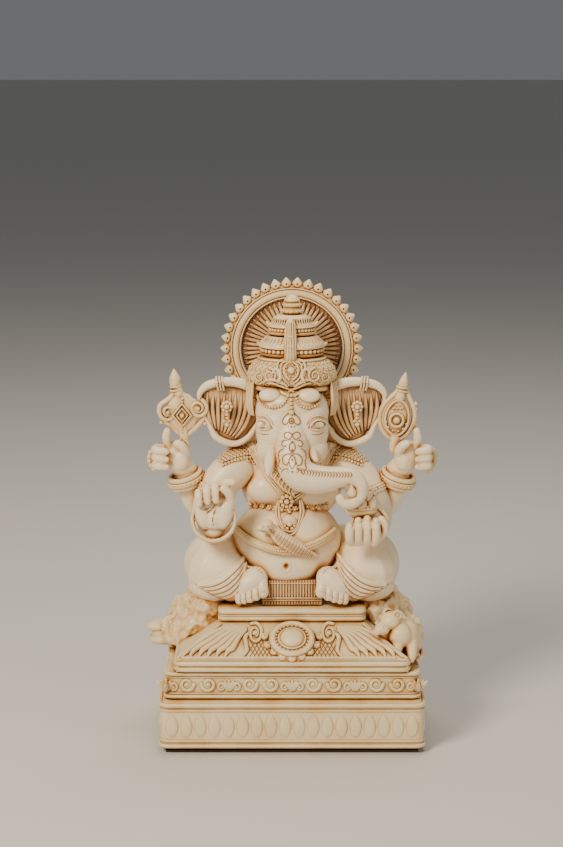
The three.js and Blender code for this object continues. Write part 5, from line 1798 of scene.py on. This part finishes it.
    low, high = corners("sweet_bowl")
    mid = (low + high) / 2 + Vector((-1.2, -1, 2.4))
    bowl = clay([ball(
        off(mid, 0, 0.5, -2.6), (9.8, 6.2, 4.4)
    ), ball(off(mid, 0, 0.5, 0.6), (8, 5.4, 4))], "bowl", 0.5, 4)
    rim = hoop(off(mid, 0, 0.5, -0.6), 9.2, 0.9, (0, 0, 0), (1, 0.66, 1))
    sweets = []
    for dx, dy, dz, r in (
        (-6, -2.4, 1.6, 3.3), (0, -3.8, 2.2, 3.5), (6.2, -2.2, 1.8, 3.3), (-3.4, -0.8, 5, 3.2),
        (3.2, -0.8, 5.2, 3.2), (0, 0.6, 8, 3)
    ):
        sweets.append(off(mid, dx, dy, dz, r))
    heap = copies(
        sweet_pattern(),
        [
            Matrix.LocRotScale(Vector(s[:3]), Euler((0.2 * i, 0.15 * (i - 3), i)), Vector((s[3],) * 3))
            for i, s in enumerate(sweets)
        ], "heap"
    )
    petals = [
        (
            mid.x + 6.9 * math.cos(a * math.pi / 6), mid.y - 2.6 - 2.2 * math.sin(a * math.pi / 6),
            mid.z + 0.6, 1.2
        )
        for a in range(13)
    ]
    hand_in([bowl, rim, heap, beads(petals)], CARVED, "ornament_resin", "sweet_bowl")


def sweet_pattern():
    """A pleated dumpling drawn up to a point."""
    bpy.ops.mesh.primitive_uv_sphere_add(segments=24, ring_count=12, radius=1)
    ob = bpy.context.object
    for vertex in ob.data.vertices:
        turn = math.atan2(vertex.co.y, vertex.co.x)
        pull = max(0, vertex.co.z)
        pleat = 1 + 0.07 * math.cos(turn * 12) * (0.4 + pull)
        vertex.co.x *= pleat * (1 - 0.45 * pull ** 2)
        vertex.co.y *= pleat * (1 - 0.45 * pull ** 2)
        vertex.co.z += 0.35 * pull ** 3
    return rounded(ob)


def make_rear_arms():
    for side, word in SIDES:
        low, high = corners(f"rear_arm_{word}")
        elbow = Vector((side * 54, 13.5, low.z + 8.8))
        shoulder = Vector((side * 34.5, 15.5, high.z - 10))
        hand_low = corners(f"rear_hand_{word}")[0]
        palm = Vector((side * 70.5, 3.6, hand_low.z + 13.5))
        wrist = Vector((side * 64, 7.4, hand_low.z + 0.5))
        arm = clay([
            limb([(*shoulder, 9.8), (side * 45, 15.2, high.z - 20, 9.6), (*elbow, 8.8)], 20),
            limb([(*elbow, 8.8), (side * 59, 11.5, low.z + 15.5, 8.8), (*wrist, 7.8)], 20),
        ], f"rear_arm_{word}", 0.8, 5)
        put(arm, SKIN, "ivory_resin", f"rear_arm_{word}")

        mid = middle(f"bangle_{word}")
        axis = Vector((side * 0.3, -0.2, 1)).normalized()
        slope = axis.to_track_quat("Z", "Y").to_euler()
        tilt = [math.degrees(a) for a in slope]
        rims = [hoop(mid + axis * d, 9.4, 1.7, tilt) for d in (-2.6, 2.6)]
        core = hoop(mid, 8.8, 2.4, tilt)
        row = bead_bracelet(mid, axis, 10.9, 1, 1.25, 1)
        bangle = join([core, *rims, row[0], row[1]], f"bangle_{word}")
        put(rounded(bangle), CARVED, "ornament_resin", f"bangle_{word}")

        parts = [
            ball(palm, (8.8, 5.6, 9), (0, side * 14, 0), 28),
            ball(off(palm, -side * 3.6, -3.4, -3), (5, 3.8, 6.4), (0, 0, 0), 20),
            limb([off(wrist, 0, 0, 2, 7.2), off(palm, -side * 1.6, 0.6, -4, 7)], 18),
            reaching(palm, side, ((3.4, -2, 4.5), (4.6, -3.6, 8.8), (5, -4.4, 12.4), (4.4, -5, 15.4)), 2.6),
            reaching(palm, side, ((-5, -2.6, -1), (-6.4, -5.2, 3.2), (-4.4, -7, 6.6), (-1.8, -7.6, 8.4)), 2.8)
        ]
        nails = []
        for k in range(3):
            z = 4 - k * 4.7
            parts.append(reaching(
                palm, side,
                ((6, -1.4, z), (11.2, -3.2, z + 0.6), (10.8, -7.6, z + 0.2), (5.4, -8.8, z - 0.4)), 2.6
            ))
            nails.append(nail(off(palm, side * 4.6, -10.3, z - 0.2), 2.2))
        hand = clay(parts, f"rear_hand_{word}", 0.42, 3)
        hand = join([hand, *nails], f"rear_hand_{word}")
        put(rounded(hand), SKIN, "ivory_resin", f"rear_hand_{word}")

        low, high = corners(f"noose_{word}")
        outer = low.x if side < 0 else high.x
        mid = (low + high) / 2
        if side < 0:
            rope = [
                (outer + 6, mid.y + 1.6, high.z - 1), (outer + 2.2, mid.y, mid.z + 3.4),
                (outer + 2, mid.y - 1, mid.z - 2.4), (outer + 5, mid.y - 1.4, low.z + 2)
            ]
            spots = spaced(flowing([(*p, 1.9) for p in rope], 6), 2.6)
            cord = strands([[(*p, 1.3) for p in rope]], 10, 4)
            noose = join([cord, beads(spots)], f"noose_{word}")
        else:
            loop = [
                (outer - 6, mid.y + 1.6, high.z - 1, 1.7), (outer - 1.8, mid.y, mid.z + 4, 1.8),
                (outer - 1.6, mid.y - 1, mid.z - 3, 1.8), (outer - 4.6, mid.y - 1.4, low.z + 1.8, 1.7),
                (outer - 7.6, mid.y - 1.4, mid.z - 2.6, 1.6)
            ]
            cord = strands([loop], 12, 5)
            turns = []
            for a, b in zip(flowing(loop, 5), flowing(loop, 5)[1:]):
                turns.append((*((Vector(a[:3]) + Vector(b[:3])) / 2), 1.95))
            noose = join([cord, beads(spaced(turns, 1.7))], f"noose_{word}")
        put(rounded(noose), CARVED, "ornament_resin", f"noose_{word}")


def make_tools():
    low, high = corners("axe")
    mid_y = (low.y + high.y) / 2
    x = -65.0
    z = low.z + 2

    def p(dx, dz, r, dy=0.0):
        return (x + dx, mid_y + dy, z + dz, r)

    plate_parts = [
        ball((x - 1, mid_y, z + 22), (10, 2.4, 12.5), fine=24),
        ball((x + 4.6, mid_y, z + 24), (8, 2.2, 6), (0, 20, 0), 20),
        limb([p(0, 0, 3.4), p(0, 8, 3), p(-1, 16, 2.8)], 14),
        limb([p(-3, 34, 3), p(-4.6, 40, 2.8), p(-5, 43, 2.4)], 14),
    ]
    plate = clay(plate_parts, "axe", 0.5, 3)
    outline = [
        [
            p(-1, 8, 1.5), p(-7, 13, 1.6), p(-13.4, 19.5, 1.7), p(-14.4, 26, 1.7), p(-9, 30.5, 1.6),
            p(-5, 35.5, 1.5)
        ],
        [p(1.5, 8, 1.5), p(7, 13, 1.6), p(12.4, 20, 1.7), p(9.6, 27, 1.6), p(2, 31, 1.5), p(-2.4, 35.5, 1.4)]
    ]
    outline.append([p(dx, dz, r, -1.6) for dx, dz, r in spiral(8.6, 25, 60, 1.8, 5.6, 1.2, 1.35, 0.8, -1)])
    outline.append([p(dx, dz, r, -1.4) for dx, dz, r in spiral(-9.4, 22.5, 200, 1.5, 5, 1, 1.2, 0.7, 1)])
    diamonds = []
    for grow, r in ((5.6, 0.75), (3.4, 0.6)):
        diamonds.append([
            p(-1, 21 - grow * 1.25, r, -3), p(-1 + grow, 21, r, -3), p(-1, 21 + grow * 1.25, r, -3),
            p(-1 - grow, 21, r, -3)
        ])
    drops = [
        [
            p(-1 + side * 0.6, 6.5, 0.5, -2.6), p(-1 + side * 3.4, 3.2, 1.1, -2.8),
            p(-1 + side * 0.8, -1.4, 0.5, -2.4)
        ]
        for side in (-1, 1)
    ]
    rings = [hoop((x - 4.8, mid_y, z + dz), 3, 0.7, (0, -6, 0), fine=24) for dz in (36, 38.2)]
    cone = strands([[p(-5, 39, 3.1), p(-5.3, 43, 3.3), p(-5.6, 46.4, 1.8), p(-5.8, 48.4, 0.5)]], 16, 4)
    studs = [
        p(-1, 21, 1.5, -3.2), p(8.6, 25, 1.4, -2.6), p(-9.4, 22.5, 1.2, -2.4), p(-13.6, 16.4, 1.2, -1),
        p(12.6, 15.6, 1.2, -1)
    ]
    studs += [p(-1, dz, 0.8, -2.8) for dz in (11, 13, 29, 31)]
    axe = join([
        plate, strands(outline, 10, 4), strands(diamonds, 8, 0, True), strands(drops, 8, 4), cone, *rings,
        beads(studs)
    ], "axe")
    put(rounded(axe), CARVED, "ornament_resin", "axe")

    low, high = corners("goad")
    mid_y = (low.y + high.y) / 2
    x = 62.0
    z = low.z + 2
    plate = clay([
        ball((x, mid_y, z + 20), (9.4, 2.2, 12.6), (0, 6, 0), 28),
        limb([p(0, 0, 3.4), p(0, 7, 3.2)], 14),
        limb([p(2.6, 31, 3.4), p(4.4, 38, 2.8), p(5.2, 42, 1.8)], 14),
    ], "goad", 0.5, 3)
    outline = [
        [
            p(-0.5, 5, 1.4), p(-6, 9.5, 1.6), p(-9.4, 17, 1.7), p(-8, 25, 1.7), p(-3, 31, 1.6),
            p(1.2, 35, 1.5), p(3.4, 40, 1.4)
        ],
        [
            p(1.5, 5, 1.4), p(7.4, 9.6, 1.6), p(11, 16, 1.7), p(11.4, 24, 1.7), p(8.4, 31, 1.6),
            p(6.4, 36, 1.5), p(5.6, 41, 1.3)
        ]
    ]
    inner = [[
        p(0, 8, 0.6, -2.4), p(-5, 13, 0.7, -2.4), p(-6, 20, 0.7, -2.4), p(-3, 27, 0.7, -2.4),
        p(2.4, 30, 0.6, -2.4), p(7, 26, 0.7, -2.4), p(8, 18, 0.7, -2.4), p(5, 11, 0.7, -2.4),
        p(0, 8, 0.6, -2.4)
    ]]
    ring_at = (x + 0.8, mid_y - 2.6, z + 18)
    big_ring = hoop(ring_at, 4, 0.9, (90, 0, 0), fine=32)
    rings = [hoop((x + 4.2, mid_y, z + dz), 3.1, 0.7, (0, 10, 0), fine=24) for dz in (35.5, 37.6)]
    cone = strands([[p(4.4, 37, 3), p(5, 41, 2.7), p(5.8, 44.6, 1.4), p(6.1, 46.4, 0.4)]], 16, 4)
    studs = [(*ring_at, 2.2)]
    studs += [p(-1.4 + 1.1 * k, 25.2 + (k % 2) * 0.4, 0.75, -2.8) for k in range(6)]
    studs += [
        p(0.8 + 6.4 * math.cos(a * math.pi / 6 + 3.3), 18 + 6.8 * math.sin(a * math.pi / 6 + 3.3), 0.8, -2.4)
        for a in range(6)
    ]
    studs += [p(12.2, 12 + 3.1 * k, 1.3) for k in range(6)]
    goad = join([
        plate, strands(outline, 10, 4), strands(inner, 8, 3), big_ring, *rings, cone, beads(studs)
    ], "goad")
    put(rounded(goad), CARVED, "ornament_resin", "goad")


# ---------------------------------------------------------------- building and staging
make_plinth()
make_panel()
make_flanks()
make_torso()
make_legs()
make_snake()
make_head()
make_trunk()
make_ears()
make_necklace()
make_crown()
make_halo()
make_front_arms()
make_hair()
make_rear_arms()
make_tools()

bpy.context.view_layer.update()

middle_height = (cad_low.z + cad_high.z) / 2

bpy.ops.object.select_all(action="DESELECT")
bpy.ops.mesh.primitive_plane_add(size=FLOOR_SIDE, location=(0, 0, cad_low.z))
floor = bpy.context.object
floor.name = "floor"
paper = bpy.data.materials.new("plain pale paper")
paper.use_nodes = True
dial(paper.node_tree.nodes["Principled BSDF"], Base_Color=colour("#cfcbc4"), Roughness=0.9)
floor.data.materials.append(paper)


def lamp(name, place, aim, size, power, tint):
    """A square soft box."""
    data = bpy.data.lights.new(name, "AREA")
    data.size = size
    data.energy = power
    data.color = colour(tint)[:3]
    ob = bpy.data.objects.new(name, data)
    bpy.context.scene.collection.objects.link(ob)
    ob.location = place
    ob.rotation_mode = "QUATERNION"
    ob.rotation_quaternion = (Vector(aim) - Vector(place)).to_track_quat("-Z", "Y")
    return ob


target = Vector((0, 0, middle_height))
lamp("key", (-0.75, -1.0, 1.05), target, 0.45, 27, "#fff1dc")
lamp("fill", (1.0, -0.9, 0.55), target, 0.9, 5, "#fff4e6")
lamp("top", (0.1, 0.35, 1.3), target, 0.8, 9, "#fff8ee")
world = bpy.data.worlds.new("room")
world.use_nodes = True
dial(world.node_tree.nodes["Background"], Color=colour("#dfe3e8"), Strength=0.2)
bpy.context.scene.world = world

# The viewer stands straight in front and a little above, about 1.2 m away.
eye_height = math.radians(10.5)
distance = 1.2
aim = Vector((-6.3 * MM, 0, 190 * MM))
camera_data = bpy.data.cameras.new("viewer")
camera_data.lens = 85
camera_data.sensor_width = 36
camera = bpy.data.objects.new("viewer", camera_data)
bpy.context.scene.collection.objects.link(camera)
back = Vector((0, -math.cos(eye_height), math.sin(eye_height)))
camera.location = aim + back * distance
camera.rotation_mode = "QUATERNION"
camera.rotation_quaternion = (-back).to_track_quat("-Z", "Y")
bpy.context.scene.camera = camera
